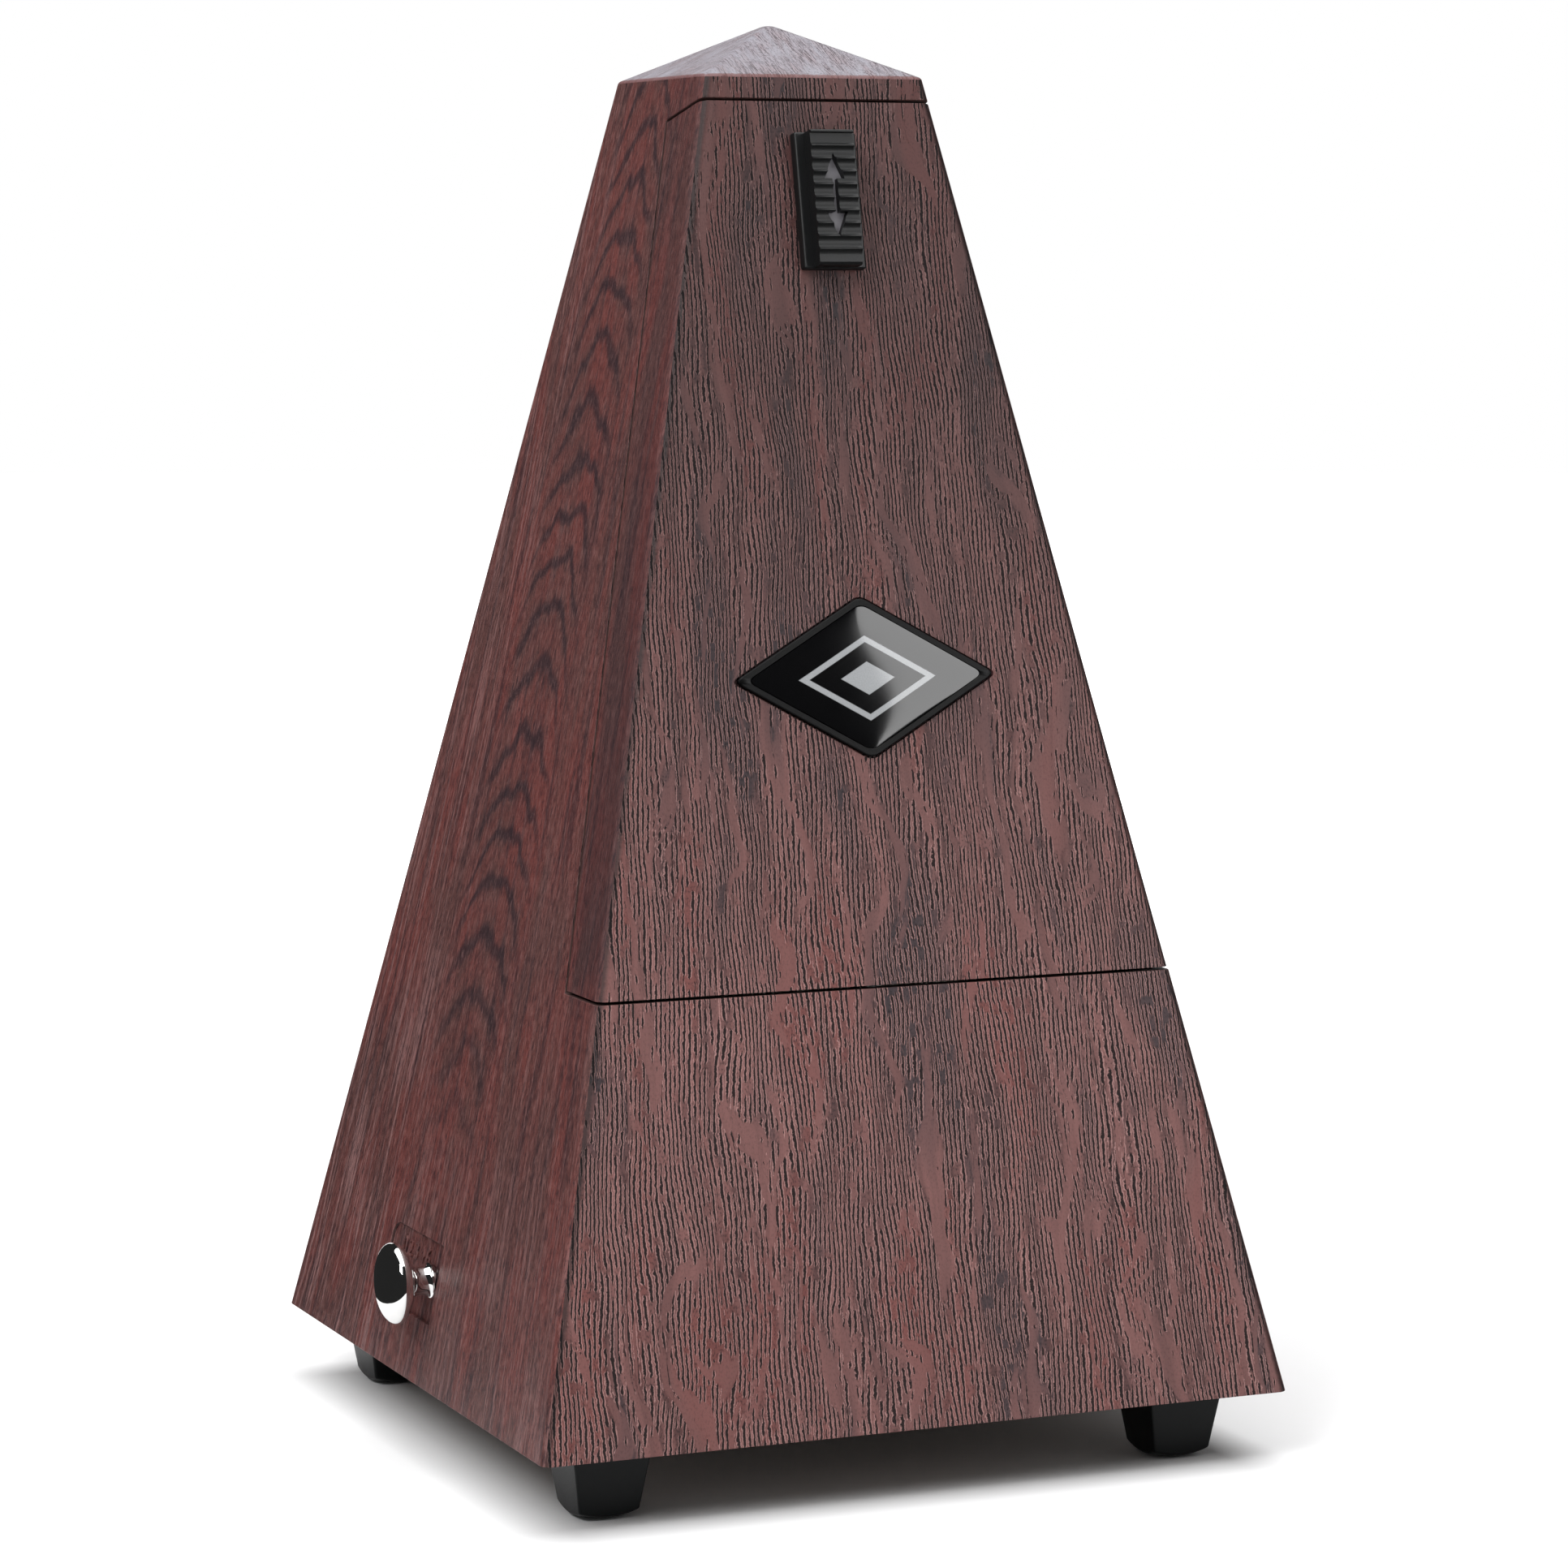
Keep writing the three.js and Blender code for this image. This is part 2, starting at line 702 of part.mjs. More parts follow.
function buildFront() {
  piece(caseGroup, "front_cover", coverShell(), woodGrain);
  piece(faceGroup, "latch_slider", latchSlider(), blackPlastic);
  piece(faceGroup, "latch_bolt", latchBolt(), steel);
  piece(faceGroup, "badge_frame", badgeFrame(), blackPlastic);
  piece(faceGroup, "badge_dome", badgeDome(), resin);
}

// ---------- Tempo scale and pendulum, in the face's frame ----------
const scaleScrewAt = [scalePlate.low + scalePlate.screwRise, scalePlate.high - scalePlate.screwDrop];
const scaleScrewSide = (along) => {
  const wallAt = innerHalf(fromFace(scalePlate.depth + scalePlate.thickness, along)[1]);
  return wallAt - scalePlate.ledgeWidth - scalePlate.screwInset;
};

function tempoPlate() {
  const half = (along) => innerHalf(fromFace(scalePlate.depth, along)[1]) - 2 * fit.gap;
  const [low, high] = [scalePlate.low, scalePlate.high];
  const points = [
    [-half(low), low],
    [half(low), low],
    [half(high), high],
    [-half(high), high],
  ];
  const holes = scaleScrewAt.flatMap((along) =>
    [-1, 1].map((side) => [scaleScrew.shank + fit.gap, [side * scaleScrewSide(along), along]]),
  );
  return acrossY(outline(points, holes), scalePlate.depth, scalePlate.depth + scalePlate.thickness);
}

function pendulumCatch() {
  const back = scalePlate.depth - fit.gap;
  const front = pendulum.depth + pendulum.rodThickness / 2 + rodCatch.cheek;
  const high = pendulum.rodTop - rodCatch.drop;
  const low = high - rodCatch.height;
  const wide = [-pendulum.rodWidth, pendulum.rodWidth];
  const block = slab([-rodCatch.width / 2, rodCatch.width / 2], [front, back], [low, high]);
  return cut(block, slab(wide, [front - past, front + rodCatch.slotDepth], [low - past, high + past]));
}

function pendulumRod() {
  const half = pendulum.rodWidth / 2;
  const deep = [pendulum.depth - pendulum.rodThickness / 2, pendulum.depth + pendulum.rodThickness / 2];
  const bob = pendulum.pivot - pendulum.bobDrop;
  const strip = slab([-half, half], deep, [bob, pendulum.rodTop]);
  const hubDeep = [pendulum.depth - pendulum.hubThickness / 2, pendulum.depth + pendulum.hubThickness / 2];
  const hub = bar(pendulum.hubRadius, "y", ...hubDeep, [0, pendulum.pivot], 24);
  const bore = bar(pendulum.arborRadius + fit.gap, "y", -past, 2 * past, [0, pendulum.pivot], 16);
  return cut(joined(strip, hub), bore);
}

function pendulumBob() {
  const centre = [0, pendulum.pivot - pendulum.bobDrop];
  const near = pendulum.depth - pendulum.bobThickness / 2;
  const far = pendulum.depth + pendulum.bobThickness / 2;
  const disc = bar(pendulum.bobRadius, "y", near, far, centre, 32);
  const half = pendulum.rodWidth / 2 + fit.gap;
  const deep = pendulum.rodThickness / 2 + fit.gap;
  const slot = slab(
    [-half, half],
    [pendulum.depth - deep, pendulum.depth + deep],
    [centre[1] - fit.gap, centre[1] + pendulum.bobRadius + past],
  );
  return cut(disc, slot);
}

function slidingWeight() {
  const [wide, tall] = [pendulum.weightWidth / 2, pendulum.weightHeight / 2];
  const [low, high] = [pendulum.weightAt - tall, pendulum.weightAt + tall];
  const shape = outline([
    [-pendulum.weightFoot / 2, low],
    [pendulum.weightFoot / 2, low],
    [wide, high - pendulum.weightShoulder],
    [pendulum.weightTop / 2, high],
    [-pendulum.weightTop / 2, high],
    [-wide, high - pendulum.weightShoulder],
  ]);
  const near = pendulum.depth - pendulum.weightThickness / 2;
  const half = pendulum.rodWidth / 2 + fit.running;
  const back = pendulum.depth + pendulum.rodThickness / 2 + fit.running;
  const front = pendulum.depth - pendulum.rodThickness / 2 - fit.running;
  const through = [low - past, high + past];
  const slot = slab([-half, half], [front, back], through);
  const leafHalf = pendulum.leafWidth / 2 + fit.gap;
  const leafDepth = pendulum.leafClearance + pendulum.leafThickness + fit.gap;
  const springSlot = slab([-leafHalf, leafHalf], [back - 0.1, back + leafDepth], through);
  return cut(acrossY(shape, near, near + pendulum.weightThickness), slot, springSlot);
}

// Leaf that presses the sliding weight against its rod.
function weightSpring() {
  const back = pendulum.depth + pendulum.rodThickness / 2 + fit.running + pendulum.leafClearance;
  const tall = pendulum.weightHeight / 2 - 1;
  const z = pendulum.weightAt;
  const half = pendulum.leafWidth / 2;
  return slab([-half, half], [back, back + pendulum.leafThickness], [z - tall, z + tall]);
}

// Arbor behind the pendulum, with the two pallets that the crown wheel drives.
function pendulumArbor() {
  const front = pendulum.depth - pendulum.hubThickness / 2 - pendulum.arborNose;
  const rear = verge.rearDepth + bearings.thickness;
  const shaft = bar(pendulum.arborRadius, "y", front, rear, [0, pendulum.pivot], 16);
  const flags = [-1, 1].map((side) => {
    const middle = verge.crownDepth + side * (train.crownRadius - verge.palletInset);
    const wide = [middle - verge.palletWidth / 2, middle + verge.palletWidth / 2];
    const thin = [-verge.palletThickness / 2, verge.palletThickness / 2];
    const flag = slab([-verge.palletLength, 0], wide, thin);
    return flag.rotateY(side * verge.palletAngle * degrees).translate(0, 0, pendulum.pivot);
  });
  return joined(shaft, ...flags);
}

function buildPendulum() {
  piece(faceGroup, "scale_plate", tempoPlate(), scaleFace);
  for (const [i, along] of scaleScrewAt.entries()) {
    for (const side of [-1, 1]) {
      const name = "scale_screw_" + ["lower_", "upper_"][i] + sideName(side);
      const fixing = piece(faceGroup, name, screwForm(scaleScrew).rotateX(-Math.PI / 2), steel);
      const ahead = scalePlate.depth - fit.gap - scaleScrew.headHeight;
      fixing.position.set(side * scaleScrewSide(along), ahead, along);
    }
  }
  piece(faceGroup, "pendulum_catch", pendulumCatch(), blackPlastic);
  piece(faceGroup, "pendulum_rod", pendulumRod(), steel);
  piece(faceGroup, "pendulum_bob", pendulumBob(), brass);
  piece(faceGroup, "sliding_weight", slidingWeight(), brass);
  piece(faceGroup, "weight_spring", weightSpring(), steel);
  piece(faceGroup, "pendulum_arbor", pendulumArbor(), steel);
}

// ---------- Gears, in Y and Z round an X arbor ----------
// Outline of a gear with the middle of one tooth at an angle.
function gearShape(teeth, phase, centre, bore) {
  const pitch = (2 * Math.PI) / teeth;
  const root = pitchRadius(teeth) - tooth.dedendum * train.module;
  const tip = tipRadius(teeth);
  const points = [];
  for (let i = 0; i < teeth; i++) {
    const flank = [
      [root, -tooth.rootHalf],
      [tip, -tooth.tipHalf],
      [tip, tooth.tipHalf],
      [root, tooth.rootHalf],
    ];
    for (const [r, share] of flank) {
      const angle = phase + (i + share) * pitch;
      points.push([centre[0] + r * Math.cos(angle), centre[1] + r * Math.sin(angle)]);
    }
  }
  return outline(points, bore ? [[bore, centre]] : []);
}

// Tooth angle of a follower that meshes with a driver whose tooth angle is known.
function meshPhase(driver, follower) {
  const line = Math.atan2(follower.axis[1] - driver.axis[1], follower.axis[0] - driver.axis[0]);
  const pitch = (2 * Math.PI) / driver.teeth;
  const shift = (((driver.phase - line) % pitch) + pitch) % pitch;
  return line + Math.PI - (shift * driver.teeth) / follower.teeth + Math.PI / follower.teeth;
}

const greatGear = { teeth: train.greatTeeth, axis: greatAxis, phase: 0 };
const middlePinion = { teeth: train.middlePinionTeeth, axis: middleAxis };
middlePinion.phase = meshPhase(greatGear, middlePinion);
const middleGear = { teeth: train.middleTeeth, axis: middleAxis, phase: middlePinion.phase };
const escapePinion = { teeth: train.escapePinionTeeth, axis: crownAxis };
escapePinion.phase = meshPhase(middleGear, escapePinion);
const camGear = { teeth: train.camTeeth, axis: camAxis };
camGear.phase = meshPhase(escapePinion, camGear);

const { greatAt, wheelAt, crownAt, crownTips } = stack;

function wheel(gear, x, bore) {
  return acrossX(gearShape(gear.teeth, gear.phase, gear.axis, bore), x, x + train.wheelThickness);
}

// A pinion cut on its arbor.
function pinionArbor(gear, [low, high], [from, to]) {
  const teeth = acrossX(gearShape(gear.teeth, gear.phase, gear.axis), low, high);
  return joined(bar(train.arborRadius, "x", from, to, gear.axis), teeth);
}

// Crown wheel: a disc with a rim of saw teeth that point along +X.
function crownWheel() {
  const sides = 3 * train.crownTeeth;
  const [radius, wall, hole] = [train.crownRadius, train.crownRim, train.arborRadius + fit.gap];
  const rim = outline(circlePoints(radius, sides), [[radius - wall, [0, 0]]]);
  const disc = outline(circlePoints(radius - wall / 2, sides), [[hole, [0, 0]]]);
  const floor = crownAt + train.crownFloor;
  const blank = joined(acrossX(rim, crownAt, crownTips), acrossX(disc, crownAt, floor));
  const pitch = (2 * Math.PI) / train.crownTeeth;
  const gap = train.crownRadius * pitch;
  const flat = new THREE.Matrix4().makeBasis(axisY, axisX, axisZ.clone().negate());
  const notches = [];
  for (let i = 0; i < train.crownTeeth; i++) {
    const saw = outline([
      [-gap * 0.42, crownTips + 1],
      [-gap * 0.3, floor + 1.5],
      [gap * 0.42, crownTips + 1],
    ]);
    const notch = thick(saw, 4).applyMatrix4(flat);
    notches.push(notch.translate(0, 0, train.crownRadius + 2).rotateX((i + 0.5) * pitch));
  }
  return cut(blank, ...notches).translate(0, ...crownAxis);
}

function circlePoints(radius, sides) {
  const step = (2 * Math.PI) / sides;
  return Array.from({ length: sides }, (_, i) => [radius * Math.cos(i * step), radius * Math.sin(i * step)]);
}

// ---------- Movement ----------
const { pillarInset } = plates;
const pillars = {
  front_lower: [frontEdge(plateLow) + pillarInset, plateLow + pillarInset],
  front_upper: [frontEdge(plates.top) + pillarInset, plates.top - pillarInset],
  rear_lower: [plateRear - pillarInset, plateLow + pillarInset],
  rear_upper: [plateRear - pillarInset, plates.top - pillarInset],
};

// One side plate with its bores, and a foot turned out along part of its lower edge.
function sidePlate(x, holes, footSpan) {
  const points = [
    [frontEdge(plateLow), plateLow],
    [plateRear, plateLow],
    [plateRear, plates.top],
    [frontEdge(plates.top), plates.top],
  ];
  const bores = Object.values(pillars).map((at) => [pillarScrew.shank + fit.gap, at]);
  const sheet = acrossX(outline(points, [...bores, ...holes]), x, x + plates.thickness);
  const edge = [frontEdge(plateLow) + 20, plateRear - 14];
  return joined(sheet, slab(footSpan, edge, [plateLow, plateLow + plates.thickness]));
}

function buildPlates() {
  const arborHole = train.arborRadius + fit.running;
  const springPost = [greatAxis[0] + mainspring.outerRadius + mainspring.postGap, greatAxis[1]];
  const left = sidePlate(
    plates.left,
    [
      [arborHole, crownAxis],
      [arborHole, middleAxis],
      [arborHole, camAxis],
      [train.greatArborRadius + fit.running, greatAxis],
      [selector.rodRadius + fit.running, selectorAxis],
    ],
    [plates.left - plates.footReach, leftFace],
  );
  const right = sidePlate(
    plates.right,
    [
      [arborHole, middleAxis],
      [train.greatArborRadius + fit.running, greatAxis],
    ],
    [plates.right, plates.right + plates.thickness + plates.footReach],
  );
  const postEnd = mainspring.start + mainspring.width;
  const post = bar(mainspring.postRadius, "x", plates.right + 0.5, postEnd, springPost, 12);
  piece(caseGroup, "movement_plate_left", left, brass);
  piece(caseGroup, "movement_plate_right", joined(right, post), brass);
  for (const [name, at] of Object.entries(pillars)) {
    const spacer = bar(plates.pillarRadius, "x", leftFace + fit.gap, plates.right - fit.gap, at, 16);
    const bore = bar(pillarScrew.shank + fit.gap, "x", plates.left, leftFace + pillarScrew.length, at, 12);
    piece(caseGroup, "pillar_" + name, cut(spacer, bore), steel);
    const form = screwForm(pillarScrew).rotateY(Math.PI / 2);
    const fixing = piece(caseGroup, "pillar_screw_" + name, form, steel);
    fixing.position.set(plates.left - fit.gap - pillarScrew.headHeight, ...at);
  }
}

// Bearings of the pendulum's arbor: a bridge at the front and a post at the rear.
function buildPendulumBearings() {
  const rear = verge.rearDepth + past;
  const bore = bar(pendulum.arborRadius + fit.running, "y", -past, rear, [0, pendulum.pivot], 16);
  const { thickness, bridgeHeight, bridgeGap, postWidth, postTop, soleLength } = bearings;
  const front = plates.depth + bridgeGap;
  const along = [pendulum.pivot - bridgeHeight / 2, pendulum.pivot + bridgeHeight / 2];
  const bridge = slab([leftFace + fit.gap, plates.right - fit.gap], [front, front + thickness], along);
  piece(faceGroup, "arbor_bridge", cut(bridge, bore), brass);
  const [y, z] = rearBearing;
  const wide = [-postWidth / 2, postWidth / 2];
  const post = slab(wide, [y - thickness / 2, y + thickness / 2], [plateLow, z + postTop]);
  const sole = slab(wide, [y - thickness / 2, y + soleLength], [plateLow, plateLow + plates.thickness]);
  piece(caseGroup, "arbor_post", cut(joined(post, sole), inFace(bore.clone())), brass);
}

// Bracket that carries the inner end of the crown wheel's arbor.
function escapeBridge() {
  const [y, z] = crownAxis;
  const front = y - escapeArm.ahead;
  const right = crownAt - escapeArm.clearance;
  const left = right - escapeArm.thickness;
  const tall = [z - escapeArm.height / 2, z + escapeArm.height / 2];
  const arm = slab([left, right], [front, y + escapeArm.behind], tall);
  const leg = slab([leftFace + fit.gap, right], [front, front + escapeArm.legDepth], tall);
  return cut(joined(arm, leg), bar(train.arborRadius + fit.running, "x", left - 1, right + 1, crownAxis));
}

function springCoil() {
  const { turns, innerRadius, outerRadius, strip } = mainspring;
  const steps = turns * 14;
  const pointAt = (i, offset) => {
    const share = i / steps;
    const radius = innerRadius + (outerRadius - innerRadius) * share + offset;
    const angle = share * turns * 2 * Math.PI;
    return [greatAxis[0] + radius * Math.cos(angle), greatAxis[1] + radius * Math.sin(angle)];
  };
  const outer = Array.from({ length: steps + 1 }, (_, i) => pointAt(i, strip / 2));
  const inner = Array.from({ length: steps + 1 }, (_, i) => pointAt(steps - i, -strip / 2));
  return acrossX(outline([...outer, ...inner]), mainspring.start, mainspring.start + mainspring.width);
}

const clickPivot = [
  greatAxis[0] + winding.clickRadius * Math.cos(winding.clickAngle * degrees),
  greatAxis[1] + winding.clickRadius * Math.sin(winding.clickAngle * degrees),
];
const ratchetAt = greatAt + train.wheelThickness + 2 * fit.gap;
const ratchetSpan = [ratchetAt, ratchetAt + winding.ratchetThickness];

function greatWheel() {
  const blank = wheel(greatGear, greatAt, train.greatArborRadius + fit.running);
  const post = bar(winding.clickPost, "x", greatAt + 1, ratchetSpan[1] + 0.4, clickPivot, 12);
  return joined(blank, post);
}

// Ratchet teeth rise slowly and drop sharply; the drop faces the click.
function ratchetWheel() {
  const pitch = (2 * Math.PI) / winding.ratchetTeeth;
  const points = [];
  const root = winding.ratchetRadius - winding.ratchetStep;
  const flank = [
    [0.05, root],
    [0.95, winding.ratchetRadius],
    [1, root],
  ];
  for (let i = 0; i < winding.ratchetTeeth; i++) {
    for (const [share, r] of flank) {
      const angle = Math.PI / 2 + (i + share) * pitch;
      points.push([greatAxis[0] + r * Math.cos(angle), greatAxis[1] + r * Math.sin(angle)]);
    }
  }
  const shape = outline(points, [[train.greatArborRadius + fit.gap, greatAxis]]);
  return acrossX(shape, ...ratchetSpan);
}

// Click: a pawl on the great wheel whose nose rests just clear of a ratchet drop.
function click() {
  const [y, z] = clickPivot;
  const [noseY, noseZ] = [greatAxis[0] - 0.6, greatAxis[1] + winding.ratchetRadius - 1.1];
  const shape = outline(
    [
      [y - 1.9, z - 0.8],
      [y - 0.7, z - 1.9],
      [y + 0.9, z - 1.8],
      [noseY - 2.9, noseZ + 1.4],
      [noseY - 1, noseZ + 0.2],
      [noseY, noseZ],
      [noseY, noseZ + 1.4],
      [y + 1, z + 2.1],
      [y - 1.2, z + 1.8],
    ],
    [[winding.clickPost + fit.gap, clickPivot]],
  );
  return acrossX(shape, ...ratchetSpan);
}

// Leaf spring above the click, with room for the click to lift.
function clickSpring() {
  const [y, z] = [clickPivot[0] + 7, clickPivot[1] + 4];
  const leaf = outline([
    [y, z],
    [y, z + 2],
    [y - 1.6, z + 2],
    [y - 5.6, z + 0.3],
    [y - 5.4, z - 0.2],
    [y - 1.6, z + 1.2],
    [y - 1.2, z],
  ]);
  return acrossX(leaf, ...ratchetSpan);
}

const knobEnd = outerHalf(selector.z) + knob.reach; // furthest point of the knob from the middle of the case
const keyStart = outerHalf(greatAxis[1] - winding.collarRadius) + winding.keyClearance;
const keySocket = keyStart + winding.collarLength - 1; // blind end of the key's bore

// The key stands out as far as the knob does on the other side.
function windingKey() {
  const collar = cut(
    bar(winding.collarRadius, "x", keyStart, keyStart + winding.collarLength, greatAxis, 24),
    bar(train.greatArborRadius + fit.gap, "x", keyStart - 1, keySocket, greatAxis, 16),
  );
  const half = winding.keyWidth / 2;
  const tall = (knobEnd - keySocket) / 2;
  const wing = new THREE.Shape();
  const [y, z] = greatAxis;
  wing.moveTo(y - half + tall, -tall);
  wing.lineTo(y + half - tall, -tall);
  wing.absarc(y + half - tall, 0, tall, -Math.PI / 2, Math.PI / 2);
  wing.lineTo(y - half + tall, tall);
  wing.absarc(y - half + tall, 0, tall, Math.PI / 2, 1.5 * Math.PI);
  const turn = new THREE.Matrix4().makeBasis(axisY, axisX, axisZ.clone().negate());
  const plate = thick(wing, winding.keyThickness).applyMatrix4(turn);
  plate.translate(knobEnd - tall, 0, z + winding.keyThickness / 2);
  return joined(collar, plate);
}

function buildMovement() {
  const left = leftFace - plates.arborEnd;
  const inside = [left, plates.right + plates.arborEnd];
  const escapeSpan = [left, crownAt + train.crownFloor + 3 * fit.gap];
  piece(caseGroup, "escape_bridge", escapeBridge(), brass);
  piece(caseGroup, "escape_arbor", pinionArbor(escapePinion, pinions.escape, escapeSpan), steel);
  piece(caseGroup, "crown_wheel", crownWheel(), brass);
  piece(caseGroup, "middle_arbor", pinionArbor(middlePinion, pinions.middle, inside), steel);
  piece(caseGroup, "middle_wheel", wheel(middleGear, wheelAt, train.arborRadius + fit.gap), brass);
  piece(caseGroup, "great_wheel", greatWheel(), brass);
  piece(caseGroup, "click", click(), steel);
  piece(caseGroup, "click_spring", clickSpring(), steel);
  piece(caseGroup, "ratchet_wheel", ratchetWheel(), steel);
  const arbor = bar(train.greatArborRadius, "x", left, keySocket - fit.gap, greatAxis, 16);
  piece(caseGroup, "winding_arbor", arbor, steel);
  piece(caseGroup, "mainspring", springCoil(), steel);
  piece(caseGroup, "winding_key", windingKey(), chrome);
}

// ---------- Bell work ----------
const drumEnds = [
  cams.fingerAt - (cams.beats.length + 0.5) * selector.step - cams.endWidth,
  cams.fingerAt - selector.step + cams.width / 2 + cams.endWidth,
];
const bracketAt = drumEnds[0] - bracket.gap; // right face of the bracket

// Angle at which the hammer's finger meets the cams, seen from their axis.
const fingerTipAngle = -90 * degrees;
const fingerTip = [
  camAxis[0] + (cams.lobeRadius - cams.fingerDrop) * Math.cos(fingerTipAngle),
  camAxis[1] + (cams.lobeRadius - cams.fingerDrop) * Math.sin(fingerTipAngle),
];

function camShape(lobes) {
  const points = [];
  const steps = 72;
  for (let i = 0; i < steps; i++) {
    const turn = (i / steps) * 2 * Math.PI;
    const near = Math.cos(lobes * (turn - fingerTipAngle - Math.PI / 6));
    const limit = Math.cos((lobes * 10 + 1) * degrees);
    const r = near > limit ? cams.lobeRadius : cams.baseRadius;
    points.push([camAxis[0] + r * Math.cos(turn), camAxis[1] + r * Math.sin(turn)]);
  }
  return outline(points);
}

function camDrum() {
  const core = bar(cams.baseRadius - cams.coreInset, "x", ...drumEnds, camAxis, 24);
  const lobes = cams.beats.map((beats, i) => {
    const middle = cams.fingerAt - (i + 1) * selector.step;
    return acrossX(camShape(beats), middle - cams.width / 2, middle + cams.width / 2);
  });
  const arbor = bar(train.arborRadius, "x", bracketAt - 0.4, wheelAt + train.wheelThickness + 0.8, camAxis);
  return joined(core, ...lobes, arbor);
}

function bellBracket() {
  const { edge, rearEdge, shoulder, thickness, footReach } = bracket;
  const [y0, y1] = [camAxis[0] - edge, selectorAxis[0] + rearEdge];
  const high = camAxis[1] + edge;
  const holes = [
    [train.arborRadius + fit.running, camAxis],
    [selector.rodRadius + fit.running, selectorAxis],
  ];
  const points = [
    [y0, plateLow],
    [y1, plateLow],
    [y1, selectorAxis[1] + edge],
    [camAxis[0] + shoulder, high],
    [y0, high],
  ];
  const sheet = acrossX(outline(points, holes), bracketAt - thickness, bracketAt);
  const sole = slab([bracketAt - footReach, bracketAt], [y0, y1], [plateLow, plateLow + thickness]);
  return joined(sheet, sole);
}

function selectorRod() {
  const left = -outerHalf(selector.z) - fit.gap - knob.socket;
  return bar(selector.rodRadius, "x", left, selector.innerEnd, selectorAxis);
}

function selectorKnob() {
  const { reach, lensDiameter, lensThickness, neckRadius } = knob;
  const rim = lensDiameter / 2;
  const start = fit.gap;
  const lensBack = reach - lensThickness;
  const middle = reach - lensThickness / 2;
  const dome = (side, from, to) => {
    const steps = 6;
    const points = [];
    for (let i = from; i <= to; i++) {
      const angle = (i / steps) * (Math.PI / 2);
      points.push([rim * Math.cos(angle), middle + side * (lensThickness / 2) * Math.sin(angle)]);
    }
    return points;
  };
  const bore = selector.rodRadius + fit.gap;
  const profile = [
    [0, start + knob.socket],
    [bore, start + knob.socket],
    [bore, start],
    [neckRadius + 0.45, start],
    [neckRadius + 0.3, start + 0.6],
    [neckRadius, start + 1.5],
    [neckRadius + 0.2, lensBack - 0.2],
    ...dome(-1, 1, 4).reverse(),
    ...dome(1, 0, 5),
    [0, reach],
  ];
  return turned(profile, 24)
    .rotateY(-Math.PI / 2)
    .translate(-outerHalf(selector.z), ...selectorAxis);
}

function bellDome() {
  const steps = 8;
  const wallAt = (grow) =>
    Array.from({ length: steps }, (_, i) => {
      const angle = (i / steps) * (Math.PI / 2);
      return [(bell.radius + grow) * Math.cos(angle), bell.base + (bell.rise + grow) * Math.sin(angle)];
    });
  const hole = bell.pinRadius + fit.gap;
  const profile = [
    ...wallAt(0),
    [hole, bell.base + bell.rise],
    [hole, bell.base + bell.rise - bell.wall],
    ...wallAt(-bell.wall).reverse(),
  ];
  return turned([...profile, profile[0]], 24).translate(bellX, bell.y, 0);
}

function bellPost() {
  const shoulder = bell.base + bell.rise - bell.wall - fit.gap;
  const footTop = plateLow + bell.footThickness;
  const pinTop = shoulder + bell.wall + bell.nutHeight + 0.2;
  const profile = [
    [0, plateLow],
    [bell.postFoot, plateLow],
    [bell.postFoot, footTop],
    [bell.postRadius, footTop],
    [bell.postRadius, shoulder],
    [bell.pinRadius, shoulder],
    [bell.pinRadius, pinTop],
    [0, pinTop],
  ];
  return turned(profile, 16).translate(bellX, bell.y, 0);
}

function bellNut() {
  const low = bell.base + bell.rise + fit.gap;
  const high = low + bell.nutHeight;
  const nut = bar(bell.nutRadius, "z", low, high, [bellX, bell.y], 6);
  return cut(nut, bar(bell.pinRadius + fit.gap, "z", low - 1, high + 1, [bellX, bell.y], 12));
}

// Hammer: a hub on the selector rod, a finger for the cams and an arm to the bell.
function hammerForm() {
  const [y, z] = selectorAxis;
  const at = cams.fingerAt;
  const hubLeft = at - cams.fingerWidth / 2 - 0.2;
  const hubSpan = [hubLeft, hubLeft + hammer.hubWidth];
  const hub = bar(hammer.hubRadius, "x", ...hubSpan, selectorAxis, 20);
  const [dy, dz] = [fingerTip[0] - y, fingerTip[1] - z];
  const span = Math.hypot(dy, dz);
  const wide = [-cams.fingerWidth / 2, cams.fingerWidth / 2];
  const thin = [-cams.fingerThickness / 2, cams.fingerThickness / 2];
  const finger = slab(wide, thin, [hammer.hubRadius - 1, span]);
  finger.rotateX(-Math.atan2(dy, dz)).translate(at, y, z);
  const headX = bellX + (cams.beats.length * selector.step) / 2;
  const headY = bell.y - hammer.headInset;
  const share = (hammer.headInset - hammer.headRadius) / bell.radius;
  const headLow = bell.base + bell.rise * Math.sqrt(1 - share * share) + hammer.headClearance;
  const head = bar(hammer.headRadius, "z", headLow, headLow + hammer.headHeight, [headX, headY], 20);
  const armFrom = new THREE.Vector3(hubLeft + hammer.hubWidth / 2, y + 1, z + 1.6);
  const armTo = new THREE.Vector3(headX, headY, headLow + hammer.headHeight / 2);
  const arm = new THREE.CylinderGeometry(hammer.armRadius, hammer.armRadius, armFrom.distanceTo(armTo), 12);
  const along = armTo.clone().sub(armFrom).normalize();
  arm.applyQuaternion(new THREE.Quaternion().setFromUnitVectors(axisY, along));
  arm.translate(...armFrom.clone().add(armTo).multiplyScalar(0.5).toArray());
  const bore = bar(selector.rodRadius + fit.running, "x", at - past, at + past, selectorAxis);
  return cut(joined(hub, finger, arm, head), bore);
}

